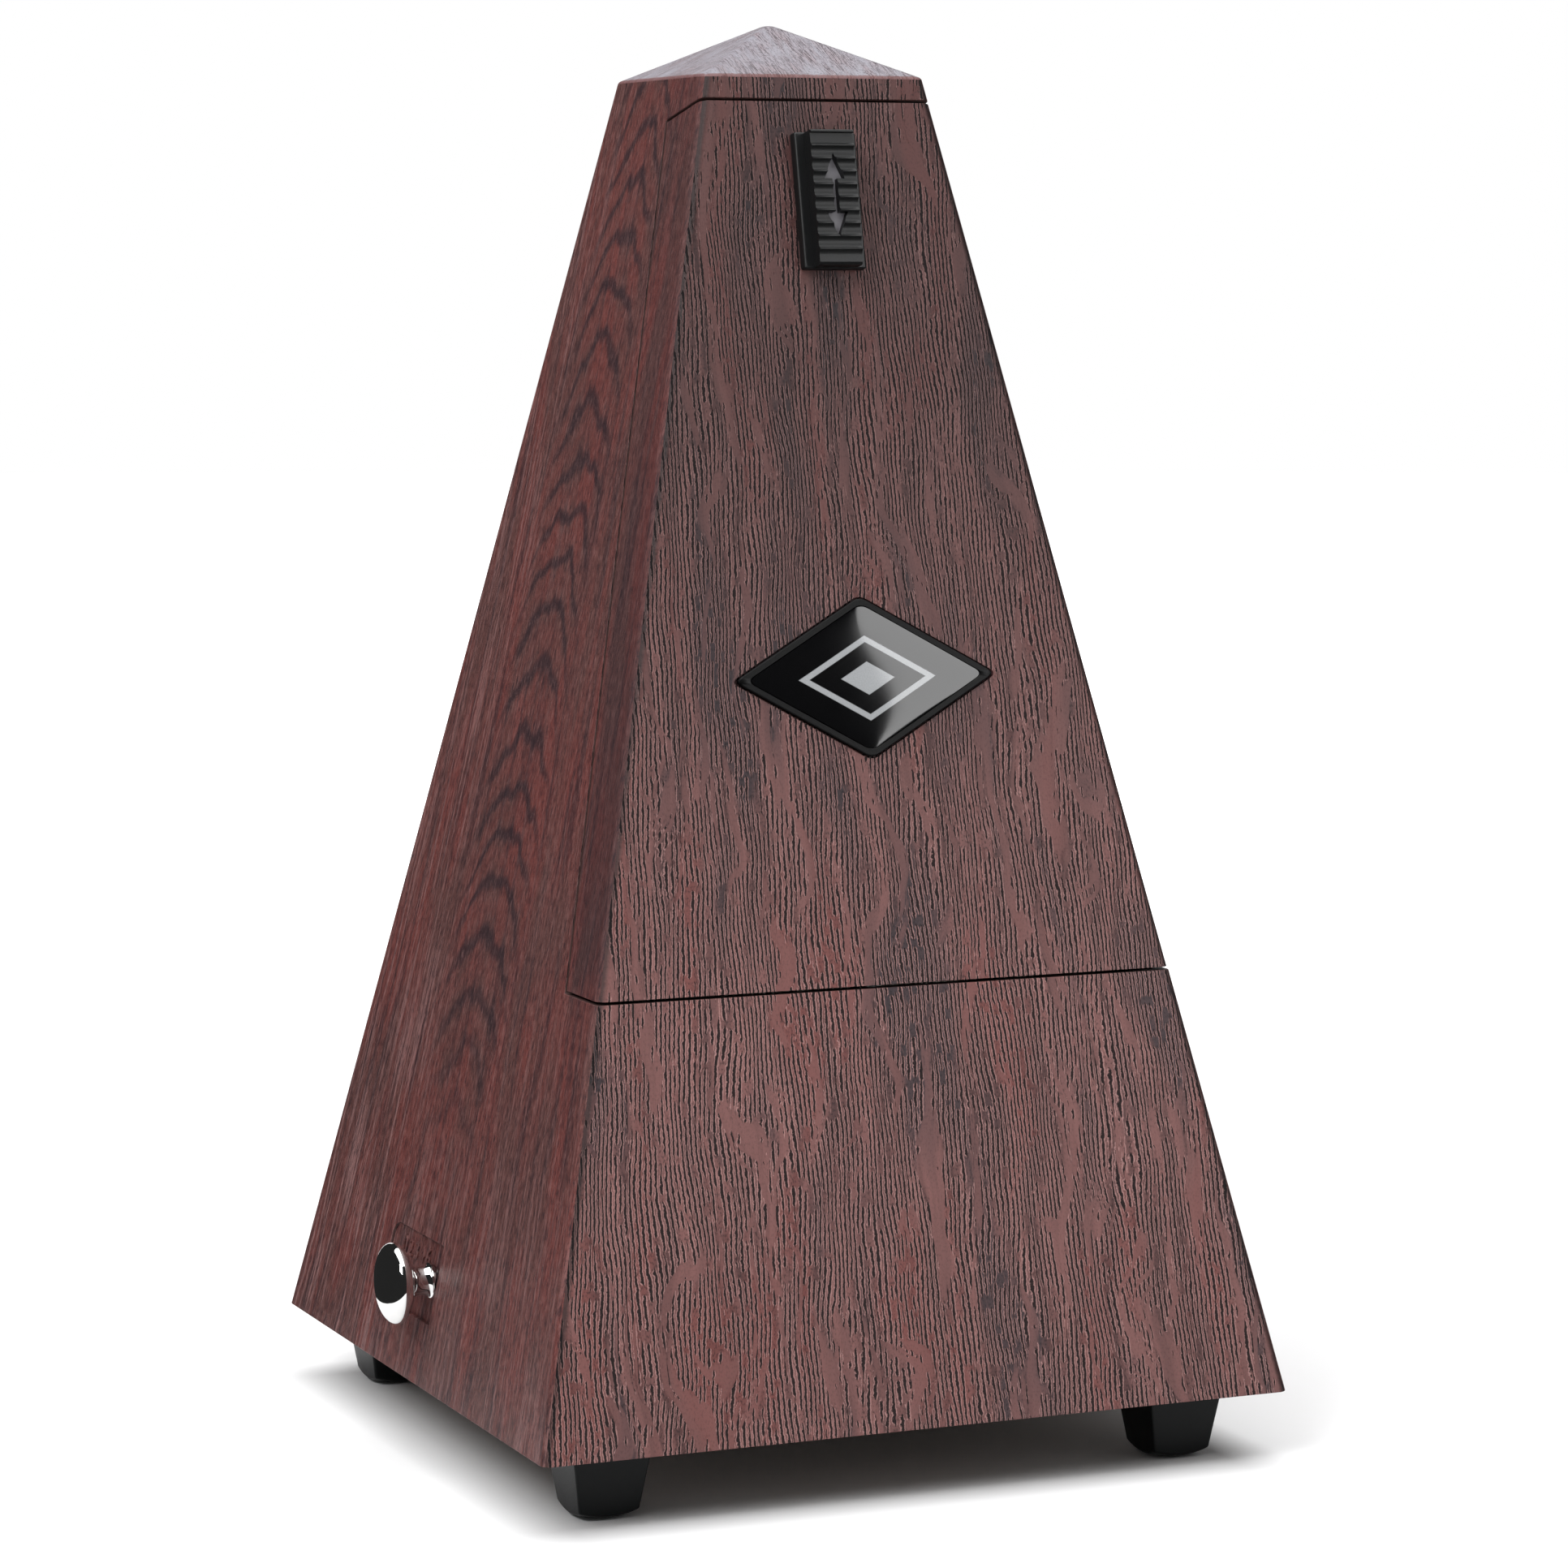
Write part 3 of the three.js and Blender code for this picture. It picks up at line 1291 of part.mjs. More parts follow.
function buildBellWork() {
  piece(caseGroup, "cam_wheel", wheel(camGear, wheelAt, train.arborRadius + fit.gap), brass);
  piece(caseGroup, "cam_drum", camDrum(), steel);
  piece(caseGroup, "bell_bracket", bellBracket(), brass);
  piece(caseGroup, "selector_rod", selectorRod(), steel);
  piece(caseGroup, "selector_knob", selectorKnob(), chrome);
  piece(caseGroup, "bell", bellDome(), brass);
  piece(caseGroup, "bell_post", bellPost(), steel);
  piece(caseGroup, "bell_nut", bellNut(), steel);
  piece(caseGroup, "hammer", hammerForm(), steel);
}

buildCase();
buildFront();
buildPendulum();
buildPlates();
buildPendulumBearings();
buildMovement();
buildBellWork();

export default metronome;
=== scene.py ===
# A spring-driven metronome: wood-grain pyramid case, tilting front, slider catch, beat knob and its works.
# Metres throughout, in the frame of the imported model. The front faces -Y and the floor is at z = 0.
import json
import math

import bmesh
import bpy
from mathutils import Matrix, Vector


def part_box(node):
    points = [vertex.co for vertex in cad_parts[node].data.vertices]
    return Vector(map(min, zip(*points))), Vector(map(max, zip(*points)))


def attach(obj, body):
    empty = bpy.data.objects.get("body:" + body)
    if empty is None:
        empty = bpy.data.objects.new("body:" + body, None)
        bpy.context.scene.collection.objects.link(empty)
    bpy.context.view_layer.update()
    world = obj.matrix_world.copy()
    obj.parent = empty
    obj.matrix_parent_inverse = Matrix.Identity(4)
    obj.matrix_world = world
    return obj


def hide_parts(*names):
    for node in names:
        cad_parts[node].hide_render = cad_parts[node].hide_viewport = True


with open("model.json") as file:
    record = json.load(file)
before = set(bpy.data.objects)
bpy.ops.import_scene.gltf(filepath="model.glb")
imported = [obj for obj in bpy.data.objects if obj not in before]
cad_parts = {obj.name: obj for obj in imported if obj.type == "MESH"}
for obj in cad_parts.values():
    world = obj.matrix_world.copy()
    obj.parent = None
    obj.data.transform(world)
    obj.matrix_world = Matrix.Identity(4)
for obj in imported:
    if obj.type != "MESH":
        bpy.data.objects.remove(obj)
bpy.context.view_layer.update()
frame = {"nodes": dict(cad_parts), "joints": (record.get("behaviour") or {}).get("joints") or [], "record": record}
print("frame loaded,", len(frame["nodes"]), "nodes")

mm = 0.001
caseLow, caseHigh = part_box("case_shell")
baseHalf = caseHigh.x
caseBase = caseLow.z
slideAxis = Vector(next(j["axis"] for j in frame["joints"] if j["name"] == "latch_slide"))
lean = math.atan2(slideAxis.y, slideAxis.z)  # how far each wall leans in
leanSin, leanCos, leanTan = math.sin(lean), math.cos(lean), math.tan(lean)


# ---- shared shader tools ----
def shade(red, green, blue):
    # a display colour of 0 to 255 as the linear colour a socket takes
    def linear(value):
        share = value / 255
        return share / 12.92 if share <= 0.04045 else ((share + 0.055) / 1.055) ** 2.4
    return (linear(red), linear(green), linear(blue), 1.0)


class Field:
    # a node's output that can be used in sums: each operator adds one Math node
    def __init__(self, finish, socket):
        self.finish = finish
        self.socket = socket

    def __add__(self, other):
        return self.finish.maths("ADD", self, other)

    def __radd__(self, other):
        return self.finish.maths("ADD", other, self)

    def __sub__(self, other):
        return self.finish.maths("SUBTRACT", self, other)

    def __rsub__(self, other):
        return self.finish.maths("SUBTRACT", other, self)

    def __mul__(self, other):
        return self.finish.maths("MULTIPLY", self, other)

    def __rmul__(self, other):
        return self.finish.maths("MULTIPLY", other, self)

    def __truediv__(self, other):
        return self.finish.maths("DIVIDE", self, other)

    def __abs__(self):
        return self.finish.maths("ABSOLUTE", self)


class Finish:
    # one material: its shader, and the ways to add nodes before it
    def __init__(self, name, **constants):
        self.material = bpy.data.materials.new(name)
        self.material.use_nodes = True
        self.tree = self.material.node_tree
        self.tree.nodes.clear()
        self.shader = self.tree.nodes.new("ShaderNodeBsdfPrincipled")
        output = self.tree.nodes.new("ShaderNodeOutputMaterial")
        self.tree.links.new(self.shader.outputs[0], output.inputs["Surface"])
        self.wear(**constants)
        place = self.node("ShaderNodeTexCoord", out="Object")
        parts = self.node("ShaderNodeSeparateXYZ", values={"Vector": place}).socket.node
        self.x, self.y, self.z = (Field(self, parts.outputs[i]) / mm for i in range(3))  # millimetres

    def put(self, socket, value):
        if isinstance(value, Field):
            self.tree.links.new(value.socket, socket)
        else:
            socket.default_value = value

    def wear(self, **values):
        for name, value in values.items():
            self.put(self.shader.inputs[name.replace("_", " ")], value)

    def node(self, kind, settings=None, values=None, out=0):
        made = self.tree.nodes.new(kind)
        for name, value in (settings or {}).items():
            if name == "stops":
                ramp = made.color_ramp.elements
                while len(ramp) < len(value):
                    ramp.new(1)
                for element, (position, colour) in zip(ramp, value):
                    element.position = position
                    element.color = colour
            else:
                setattr(made, name, value)
        for name, value in (values or {}).items():
            socket = made.inputs[name] if isinstance(name, int) else next(
                s for s in made.inputs if name in (s.identifier, s.name))
            self.put(socket, value)
        return Field(self, made.outputs[out])

    def maths(self, operation, *values):
        return self.node("ShaderNodeMath", {"operation": operation}, dict(enumerate(values)))

    def point(self, x, y, z=0.0):
        return self.node("ShaderNodeCombineXYZ", values={"X": x, "Y": y, "Z": z})

    def noise(self, place, detail=2.0, rough=0.5, scale=1.0):
        values = {"Vector": place, "Scale": scale, "Detail": detail, "Roughness": rough}
        return self.node("ShaderNodeTexNoise", values=values)

    def ramp(self, value, low, high, start=0.0, end=1.0):
        # value from low to high becomes start to end, held at both
        values = {"Value": value, "From Min": low, "From Max": high, "To Min": start, "To Max": end}
        return self.node("ShaderNodeMapRange", {"clamp": True}, values)

    def blend(self, share, first, second, way="MIX"):
        values = {"Factor_Float": share, "A_Color": first, "B_Color": second}
        return self.node("ShaderNodeMix", {"data_type": "RGBA", "blend_type": way}, values, out=2)

    def bump(self, height, depth, strength=1.0):
        normal = self.node("ShaderNodeBump", values={"Height": height, "Distance": depth, "Strength": strength})
        self.wear(Normal=normal)


# ---- shared mesh tools ----
def sheetOf(name, body, build, *finishes, slot=None):
    # a mesh object made by build(bm) that rides on a body
    mesh = bpy.data.meshes.new(name)
    bm = bmesh.new()
    build(bm)
    bmesh.ops.recalc_face_normals(bm, faces=bm.faces)
    bm.to_mesh(mesh)
    bm.free()
    piece = bpy.data.objects.new(name, mesh)
    bpy.context.scene.collection.objects.link(piece)
    for finish in finishes:
        mesh.materials.append(finish.material)
    if body:
        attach(piece, body)
    return piece


def hull(bm, points):
    verts = [bm.verts.new(p) for p in points]
    made = bmesh.ops.convex_hull(bm, input=verts)
    spare = {g for key in ("geom_interior", "geom_unused") for g in made[key] if isinstance(g, bmesh.types.BMVert)}
    bmesh.ops.delete(bm, geom=[v for v in spare if v.is_valid], context="VERTS")
    flat = math.radians(0.05)
    bmesh.ops.dissolve_limit(bm, angle_limit=flat, verts=bm.verts, edges=bm.edges)


def prism(bm, outline, start, end):
    # the outline's points at start(p), joined to the same points at end(p)
    first = [bm.verts.new(start(p)) for p in outline]
    last = [bm.verts.new(end(p)) for p in outline]
    bm.faces.new(first)
    bm.faces.new(list(reversed(last)))
    count = len(outline)
    for i in range(count):
        bm.faces.new((first[i], first[(i + 1) % count], last[(i + 1) % count], last[i]))


def carve(piece, operation, *cutters):
    for cutter in cutters:
        step = piece.modifiers.new("carve", "BOOLEAN")
        step.operation = operation
        step.solver = "EXACT"
        step.object = cutter
    settle(piece)
    for cutter in cutters:
        bpy.data.objects.remove(cutter)


def settle(piece):
    # makes the modifiers' result the piece's own mesh
    bpy.context.view_layer.update()
    shaped = piece.evaluated_get(bpy.context.evaluated_depsgraph_get())
    old = piece.data
    piece.data = bpy.data.meshes.new_from_object(shaped)
    piece.modifiers.clear()
    bpy.data.meshes.remove(old)


def tidyFaces(piece, angle):
    bm = bmesh.new()
    bm.from_mesh(piece.data)
    bmesh.ops.remove_doubles(bm, verts=bm.verts, dist=0.002 * mm)
    bmesh.ops.dissolve_limit(bm, angle_limit=math.radians(angle), verts=bm.verts, edges=bm.edges)
    bm.to_mesh(piece.data)
    bm.free()


def soften(piece, width, steps=2, angle=35, smooth=40):
    edge = piece.modifiers.new("edges", "BEVEL")
    edge.width = width
    edge.segments = steps
    edge.limit_method = "ANGLE"
    edge.angle_limit = math.radians(angle)
    edge.use_clamp_overlap = True
    settle(piece)
    smoothOver(piece, smooth)


def smoothOver(piece, angle):
    piece.data.shade_smooth()
    piece.data.set_sharp_from_angle(angle=math.radians(angle))
    even = piece.modifiers.new("even", "WEIGHTED_NORMAL")
    even.keep_sharp = True
    even.weight = 60


def spin(bm, profile, middle, axis, steps):
    # a closed or open profile of (radius, distance) turned about an axis through middle
    axis = Vector(axis).normalized()
    side = axis.orthogonal().normalized()
    other = axis.cross(side)
    rings = []
    for radius, distance in profile:
        centre = Vector(middle) + axis * distance
        if radius <= 0:
            rings.append([bm.verts.new(centre)])
            continue
        turn = [2 * math.pi * i / steps for i in range(steps)]
        rings.append([bm.verts.new(centre + (side * math.cos(a) + other * math.sin(a)) * radius) for a in turn])
    for low, high in zip(rings, rings[1:]):
        for i in range(steps):
            a, b = low[i % len(low)], low[(i + 1) % len(low)]
            c, d = high[(i + 1) % len(high)], high[i % len(high)]
            corners = [v for n, v in enumerate((a, b, c, d)) if v not in (a, b, c, d)[:n]]
            if len(corners) > 2:
                bm.faces.new(corners)


def arc(middle, radius, start, end, steps):
    # points on an arc, with its ends, in degrees
    turns = [math.radians(start + (end - start) * i / steps) for i in range(steps + 1)]
    return [(middle[0] + radius * math.cos(a), middle[1] + radius * math.sin(a)) for a in turns]


def onFront(x, along, depth=0.0):
    # a point on the front wall: x, distance up the wall, and depth behind its face
    return Vector((x, -baseHalf + along * leanSin + depth * leanCos, caseBase + along * leanCos - depth * leanSin))


def onLeft(y, along, depth=0.0):
    # the same on the wall at -X, where y runs to the back
    return Vector((-baseHalf + along * leanSin + depth * leanCos, y, caseBase + along * leanCos - depth * leanSin))


# ---- wood-grain finishes ----
grain = {
    "pink": shade(115, 77, 74),
    "brown": shade(76, 49, 48),
    "red": shade(108, 58, 54),
    "slate": shade(44, 38, 43),
    "pore": shade(7, 5, 7),
    # the colour of the painted highlight along the pores' lips
    "glint": shade(172, 130, 126),
    "filmBrown": shade(82, 52, 49),
    "filmRed": shade(98, 50, 46),
    "filmDark": shade(38, 30, 35),
    "filmPale": shade(128, 94, 92),
    "roofTint": shade(136, 133, 141),
    "roofHalf": 18.2,  # half the roof's width, in millimetres
    "pitch": 0.82,  # millimetres between pores
    "poreHalf": 0.275,  # half a pore's width, as a share of the pitch
    "poreDepth": 0.16 * mm,
}


def wallHalf(finish):
    # half the case's width at this height, in millimetres
    return baseHalf / mm - (finish.z - caseBase / mm) * leanTan


def pores(finish, across, along, bare, reach=4.6, seed=0.0):
    # long broken grooves: returns how deep the point is in one, and a painted highlight along the lips beside it
    drift = finish.noise(finish.point(across / 15, along / 34, seed), detail=2.0) - 0.5
    jitter = finish.noise(finish.point(across / 1.1, along / 1.1, seed + 4), detail=4.0, rough=0.68) - 0.5
    lane = across / grain["pitch"] + drift * 7.5 + jitter * 0.95
    index = finish.maths("FLOOR", lane)
    offset = abs(lane - index - 0.5)
    broken = finish.noise(finish.point(index * 3.71, along / reach, seed + 9), detail=1.0)
    gate = finish.ramp(broken - bare, 0.0, 0.09)
    halfWidth = gate * grain["poreHalf"] * (0.82 + jitter * 0.9)
    deep = finish.ramp(halfWidth - offset, -0.045, 0.06) * finish.ramp(gate, 0.0, 0.3)
    paintedLip = finish.ramp(halfWidth - offset, -0.22, -0.08) * finish.ramp(gate, 0.2, 0.7)
    return deep, paintedLip


def makeFrontGrain(name):
    finish = Finish(name, Specular_IOR_Level=0.22)
    along = finish.z / leanCos
    across = finish.x * (1 + along / 900)
    warp = finish.noise(finish.point(finish.x / 18, along / 34, 2.0), detail=2.0) - 0.5
    flame = finish.noise(finish.point((across + warp * 22) / 3.1, along / 32, 7.0), detail=4.0, rough=0.6)
    island = finish.ramp(flame, 0.54, 0.58)
    deep, paintedLip = pores(finish, across, along, 0.36 + island * 0.25, 3.4)
    streak = finish.noise(finish.point((across + warp * 10) / 2.2, along / 44, 12.0), detail=3.0)
    zone = finish.noise(finish.point((across + warp * 15) / 8, along / 50, 17.0), detail=2.0)
    speck = finish.noise(finish.point(across / 0.3, along / 0.5, 3.0), detail=2.0)
    jagged = finish.noise(finish.point(0.0, along / 0.9, 31.0), detail=2.0)
    colour = finish.blend(finish.ramp(streak, 0.38, 0.6), grain["brown"], grain["pink"])
    colour = finish.blend(finish.ramp(zone, 0.54, 0.64) * 0.7, colour, grain["red"])
    colour = finish.blend(finish.ramp(zone, 0.48, 0.36) * 0.85, colour, grain["slate"])
    colour = finish.blend(island * 0.5, colour, grain["pink"])
    colour = finish.blend(finish.ramp(speck, 0.5, 0.68) * (0.62 - island * 0.42), colour, grain["pore"])
    # painted highlight: the pale glint colour laid along the lips beside each pore
    colour = finish.blend(paintedLip * 0.7, colour, grain["glint"])
    colour = finish.blend(deep * 0.96, colour, grain["pore"])
    colour = finish.blend(finish.ramp(along, 70, 170) * 0.5, colour, grain["pore"])
    # painted shade: a dark band just inside the front wall's side edges that dulls their highlight, also sunk in the
    # bump as a shallow groove
    rim = finish.ramp(wallHalf(finish) - abs(finish.x) + jagged * 0.5, 1.8, 1.1)
    colour = finish.blend(rim * 0.7, colour, grain["pore"])
    finish.wear(Base_Color=colour, Roughness=0.46 + deep * 0.34 + speck * 0.12)
    finish.bump(speck * 0.1 - deep - rim * 0.8, grain["poreDepth"])
    return finish


def makeSideGrain(name):
    finish = Finish(name, Specular_IOR_Level=0.22)
    along = finish.z / leanCos
    across = finish.y * (1 + along / 360)
    warp = finish.noise(finish.point(finish.y / 16, along / 36, 1.0), detail=2.0) - 0.5
    fine = finish.noise(finish.point(across / 0.42, along / 2.3, 3.0), detail=4.0, rough=0.85)
    streak = finish.noise(finish.point((across + warp * 5) / 2.4, along / 42, 5.0), detail=3.0)
    zone = finish.noise(finish.point((across + warp * 8) / 9, along / 30, 8.0), detail=2.5)
    crown = (across - 2) * (across - 2) * 0.034
    wander = finish.noise(finish.point(across / 11, along / 24, 21.0), detail=2.0) * 14
    ring = finish.maths("SINE", (along + crown + wander) * (2 * math.pi / 8.5))
    middle = finish.ramp(abs(across - 3), 21, 12)
    arcs = finish.ramp(ring, 0.3, 0.95) * middle * finish.ramp(fine, 0.3, 0.5) * finish.ramp(along, 38, 78)
    thin = finish.noise(finish.point((across + warp * 4) / 1.0, along / 26, 15.0), detail=3.0)
    outer = finish.ramp(across + warp * 10, 12, 26)
    ridge = finish.ramp(thin, 0.5, 0.62) * (0.25 + outer * 0.5 + finish.ramp(along, 80, 30) * 0.45)
    colour = finish.blend(finish.ramp(zone, 0.42, 0.62), grain["filmBrown"], grain["filmRed"])
    colour = finish.blend(finish.ramp(streak, 0.48, 0.34) * 0.6, colour, grain["filmDark"])
    colour = finish.blend(ridge * 0.7, colour, grain["filmPale"])
    colour = finish.blend(finish.ramp(ring, -0.2, -0.9) * middle * 0.3, colour, grain["filmRed"])
    colour = finish.blend(arcs * 0.85, colour, grain["filmDark"])
    colour = finish.blend(finish.ramp(fine, 0.5, 0.4) * 0.8, colour, grain["filmDark"])
    colour = finish.blend(finish.ramp(fine, 0.53, 0.62) * 0.45, colour, grain["filmPale"])
    flange = finish.ramp(wallHalf(finish) + finish.y, 15, 9) * finish.ramp(finish.z, 72, 80)
    colour = finish.blend(flange * finish.ramp(along, 190, 90, 0.2, 0.5), colour, grain["filmDark"])
    finish.wear(Base_Color=colour, Roughness=0.5 - fine * 0.12)
    finish.bump(fine + ridge * 0.5, 0.14 * mm)
    return finish


def makeRoofGrain(name, across, along):
    # streaks run up the slope: across and along name the axes on this pair of slopes
    finish = Finish(name, Specular_IOR_Level=0.4)
    side, up = getattr(finish, across), getattr(finish, along)
    fine = finish.noise(finish.point(side / 0.24, up / 2.8, 1.0), detail=3.0, rough=0.7)
    soft = finish.noise(finish.point(side / 1.6, up / 7, 5.0), detail=2.0)
    roofHalf = grain["roofHalf"]
    dot = finish.noise(finish.point(side / 0.3, up / 0.5, 9.0), detail=2.0)
    dash = finish.ramp(fine, 0.5, 0.4) * finish.ramp(soft, 0.34, 0.56)
    colour = finish.blend(finish.ramp(soft, 0.35, 0.65) * 0.3, grain["roofTint"], grain["filmPale"])
    colour = finish.blend(dash * 0.65, colour, grain["filmDark"])
    colour = finish.blend(finish.ramp(dot, 0.56, 0.68) * 0.5, colour, grain["filmDark"])
    eave = finish.ramp(abs(up), roofHalf - 1.1 + dot, roofHalf - 0.9 + dot)
    colour = finish.blend(eave * 0.8, colour, grain["filmRed"])
    finish.wear(Base_Color=colour, Roughness=0.42 + fine * 0.15)
    finish.bump(fine + dot * 0.5 - dash * 0.6, 0.08 * mm)
    return finish


def makeInnerPlastic(name):
    finish = Finish(name, Specular_IOR_Level=0.22)
    speck = finish.noise(finish.point(finish.x / 0.4, finish.y / 0.4, finish.z / 0.4), detail=2.0)
    flow = finish.noise(finish.point(finish.x / 18, finish.y / 18, finish.z / 40), detail=2.0)
    colour = finish.blend(flow, shade(58, 42, 40), shade(74, 52, 49))
    finish.wear(Base_Color=colour, Roughness=0.5 + speck * 0.2)
    finish.bump(speck, 0.03 * mm)
    return finish


frontGrain = makeFrontGrain("front_grain")
sideGrain = makeSideGrain("side_grain")
roofFrontGrain = makeRoofGrain("roof_front_grain", "x", "y")
roofSideGrain = makeRoofGrain("roof_side_grain", "y", "x")
innerPlastic = makeInnerPlastic("inner_plastic")
woodFinishes = (frontGrain, sideGrain, roofFrontGrain, roofSideGrain, innerPlastic)
print("wood finishes made")


# ---- housing and front cover ----
housing = {
    "topWidth": 36.4 * mm,
    "height": 199 * mm,  # up to the roof's lower edge
    "wall": 2 * mm,
    "edgeRadius": 1.5 * mm,
    "roofHeight": 8.6 * mm,
    "apexRadius": 3 * mm,
    "eaveRadius": 0.8 * mm,
    "ceiling": 1.5 * mm,
    "softEdge": 0.16 * mm,
    "cornerSteps": 8,
}
front = {
    "bottom": 63.9 * mm,
    "flange": 13.1 * mm,
    "band": 3.4 * mm,
    "seamDrop": 3.1 * mm,
    "seam": 0.45 * mm,
    "sunk": 0.22 * mm,  # how far the flanges lie under the case's side walls
    "tabSpread": 30 * mm,
    "tabHalf": 4 * mm,
    "tabDepth": (2.9 * mm, 4.7 * mm),
    "tabReach": (-4.6 * mm, 6 * mm),  # below and above the seam
}


def halfAt(height):
    return baseHalf - height * leanTan


def roundedRing(half, radius, height, steps):
    points = []
    for corner in range(4):
        for i in range(steps + 1):
            turn = (corner + i / steps) * math.pi / 2
            way = (corner + 0.5) * math.pi / 2
            inset = (half - radius) * math.sqrt(2)
            points.append(Vector((inset * math.cos(way) + radius * math.cos(turn),
                                  inset * math.sin(way) + radius * math.sin(turn), caseBase + height)))
    return points


def outerHull(bm):
    steps, radius, top = housing["cornerSteps"], housing["edgeRadius"], housing["height"]
    slope = math.atan2(housing["roofHeight"], housing["topWidth"] / 2)
    points = roundedRing(baseHalf, radius, 0, steps)
    bend = (math.pi / 2 - lean) - slope  # turn from the wall to the roof
    eave = housing["eaveRadius"]
    tangent = eave * math.tan(bend / 2)
    centreHalf = halfAt(top) + tangent * leanSin - eave * leanCos
    centreHeight = top - tangent * leanCos - eave * leanSin
    for i in range(7):
        turn = lean + bend * i / 6
        ring = centreHalf + eave * math.cos(turn)
        points += roundedRing(ring, radius, centreHeight + eave * math.sin(turn), steps)
    apex = housing["apexRadius"]
    centre = top + housing["roofHeight"] - apex / math.cos(slope)
    for i in range(8):
        turn = slope * (1 - i / 8)
        ring = apex * math.sin(turn)
        points += roundedRing(ring, ring * 0.6, centre + apex * math.cos(turn), steps)
    points.append(Vector((0, 0, caseBase + centre + apex)))
    hull(bm, points)


def innerHull(bm):
    wall = housing["wall"] / leanCos
    top = housing["height"] - housing["ceiling"]
    points = []
    for height in (-1 * mm, top):
        points += roundedRing(halfAt(height) - wall, housing["edgeRadius"] / 2, height, 4)
    hull(bm, points)


def coverSpace(margin):
    # the room in front of the seam, pulled in by margin, as a prism across X
    bandLow = housing["height"] - front["band"]
    drop = front["seamDrop"]
    low, top = front["bottom"] + margin, bandLow - margin
    corner = bandLow - drop - margin + margin * drop / front["flange"]
    back = lambda height: -halfAt(height) + front["flange"] - margin / leanCos
    ahead = -2 * baseHalf
    outline = [(ahead, low), (back(low), low), (back(corner), corner), (-halfAt(bandLow), top), (ahead, top)]
    wide = 2 * baseHalf
    side = lambda x: lambda p: Vector((x, p[0], caseBase + p[1]))
    return lambda bm: prism(bm, outline, side(-wide), side(wide))


recess = {
    "rear": 18.5 * mm,
    "front": -4.8 * mm,
    "low": 9.3 * mm,
    "high": 21.3 * mm,
    "depth": 0.5 * mm,
    "corner": 2.8 * mm,
    "knobHole": 1.75 * mm,
    "keyHole": 2.75 * mm,
}


def recessCutter(bm):
    low, high = recess["low"] / leanCos, recess["high"] / leanCos
    corner = recess["corner"]
    outline = [(recess["front"], low), (recess["rear"], low)]
    outline += arc((recess["rear"] - corner, high - corner), corner, 0, 90, 8)
    outline.append((recess["front"], high))
    prism(bm, outline, lambda p: onLeft(p[0], p[1], -2 * mm), lambda p: onLeft(p[0], p[1], recess["depth"]))


def boreCutter(x, middle, radius):
    # a hole through one side wall, round an axis along X
    profile = [(0, 0), (radius, 0), (radius, baseHalf), (0, baseHalf)]
    start = Vector((min(0, x), middle.y, middle.z))
    return lambda bm: spin(bm, profile, start, (1, 0, 0), 32)


def middleOf(node):
    low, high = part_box(node)
    return (low + high) / 2


def paintWalls(piece, across):
    # each face takes the finish of the wall it belongs to
    for face in piece.data.polygons:
        normal, centre = face.normal, face.center
        height = centre.z - caseBase
        out = max(abs(centre.x), abs(centre.y)) > halfAt(height) - across
        upper = centre.z > caseBase + housing["height"] - 0.3 * mm
        turned = abs(normal.x) > abs(normal.y)
        if upper and normal.z > 0.35:
            face.material_index = 3 if turned else 2
        elif not out or height < 0.01 * mm:
            face.material_index = 4
        else:
            face.material_index = 1 if turned else 0


def buildHousing():
    shell = sheetOf("housing", "case", outerHull, *woodFinishes, slot="wood_grain")
    selectorMiddle, keyMiddle = middleOf("selector_rod"), middleOf("winding_arbor")
    carve(shell, "DIFFERENCE",
          sheetOf("hollow", None, innerHull),
          sheetOf("opening", None, coverSpace(0)),
          sheetOf("dial_recess", None, recessCutter),
          sheetOf("knob_hole", None, boreCutter(-baseHalf, selectorMiddle, recess["knobHole"])),
          sheetOf("key_hole", None, boreCutter(baseHalf, keyMiddle, recess["keyHole"])))
    tidyFaces(shell, 0.3)
    soften(shell, housing["softEdge"])
    paintWalls(shell, 0.9 * mm)
    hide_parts("case_shell")
    return shell


def sunkHull(bm):
    outerHull(bm)
    share = 1 - front["sunk"] / baseHalf
    for vert in bm.verts:
        vert.co.x *= share


badge = {
    "width": 42.6 * mm,
    "height": 24.4 * mm,
    "centre": 111.8 * mm,  # up the front wall
    "corner": 1.4 * mm,
    "rim": 1 * mm,
    "proud": 0.5 * mm,
    "crown": 1.15 * mm,
    "pocket": 0.8 * mm,
}


def diamond(grow, steps=6):
    # the badge's outline, with each corner turned by a short curve
    half, tall = badge["width"] / 2, badge["height"] / 2
    share = 1 + grow * math.hypot(half, tall) / (half * tall)
    tips = [Vector((half * share, 0)), Vector((0, tall * share)), Vector((-half * share, 0)), Vector((0, -tall * share))]
    points = []
    for i, tip in enumerate(tips):
        step = badge["corner"] / (tips[1] - tips[0]).length
        near = tip.lerp(tips[i - 1], step)
        far = tip.lerp(tips[(i + 1) % 4], step)
        for k in range(steps + 1):
            t = k / steps
            points.append(near * (1 - t) ** 2 + tip * 2 * t * (1 - t) + far * t * t)
    return points


def onBadge(point, depth):
    return onFront(point[0], badge["centre"] + point[1], depth)


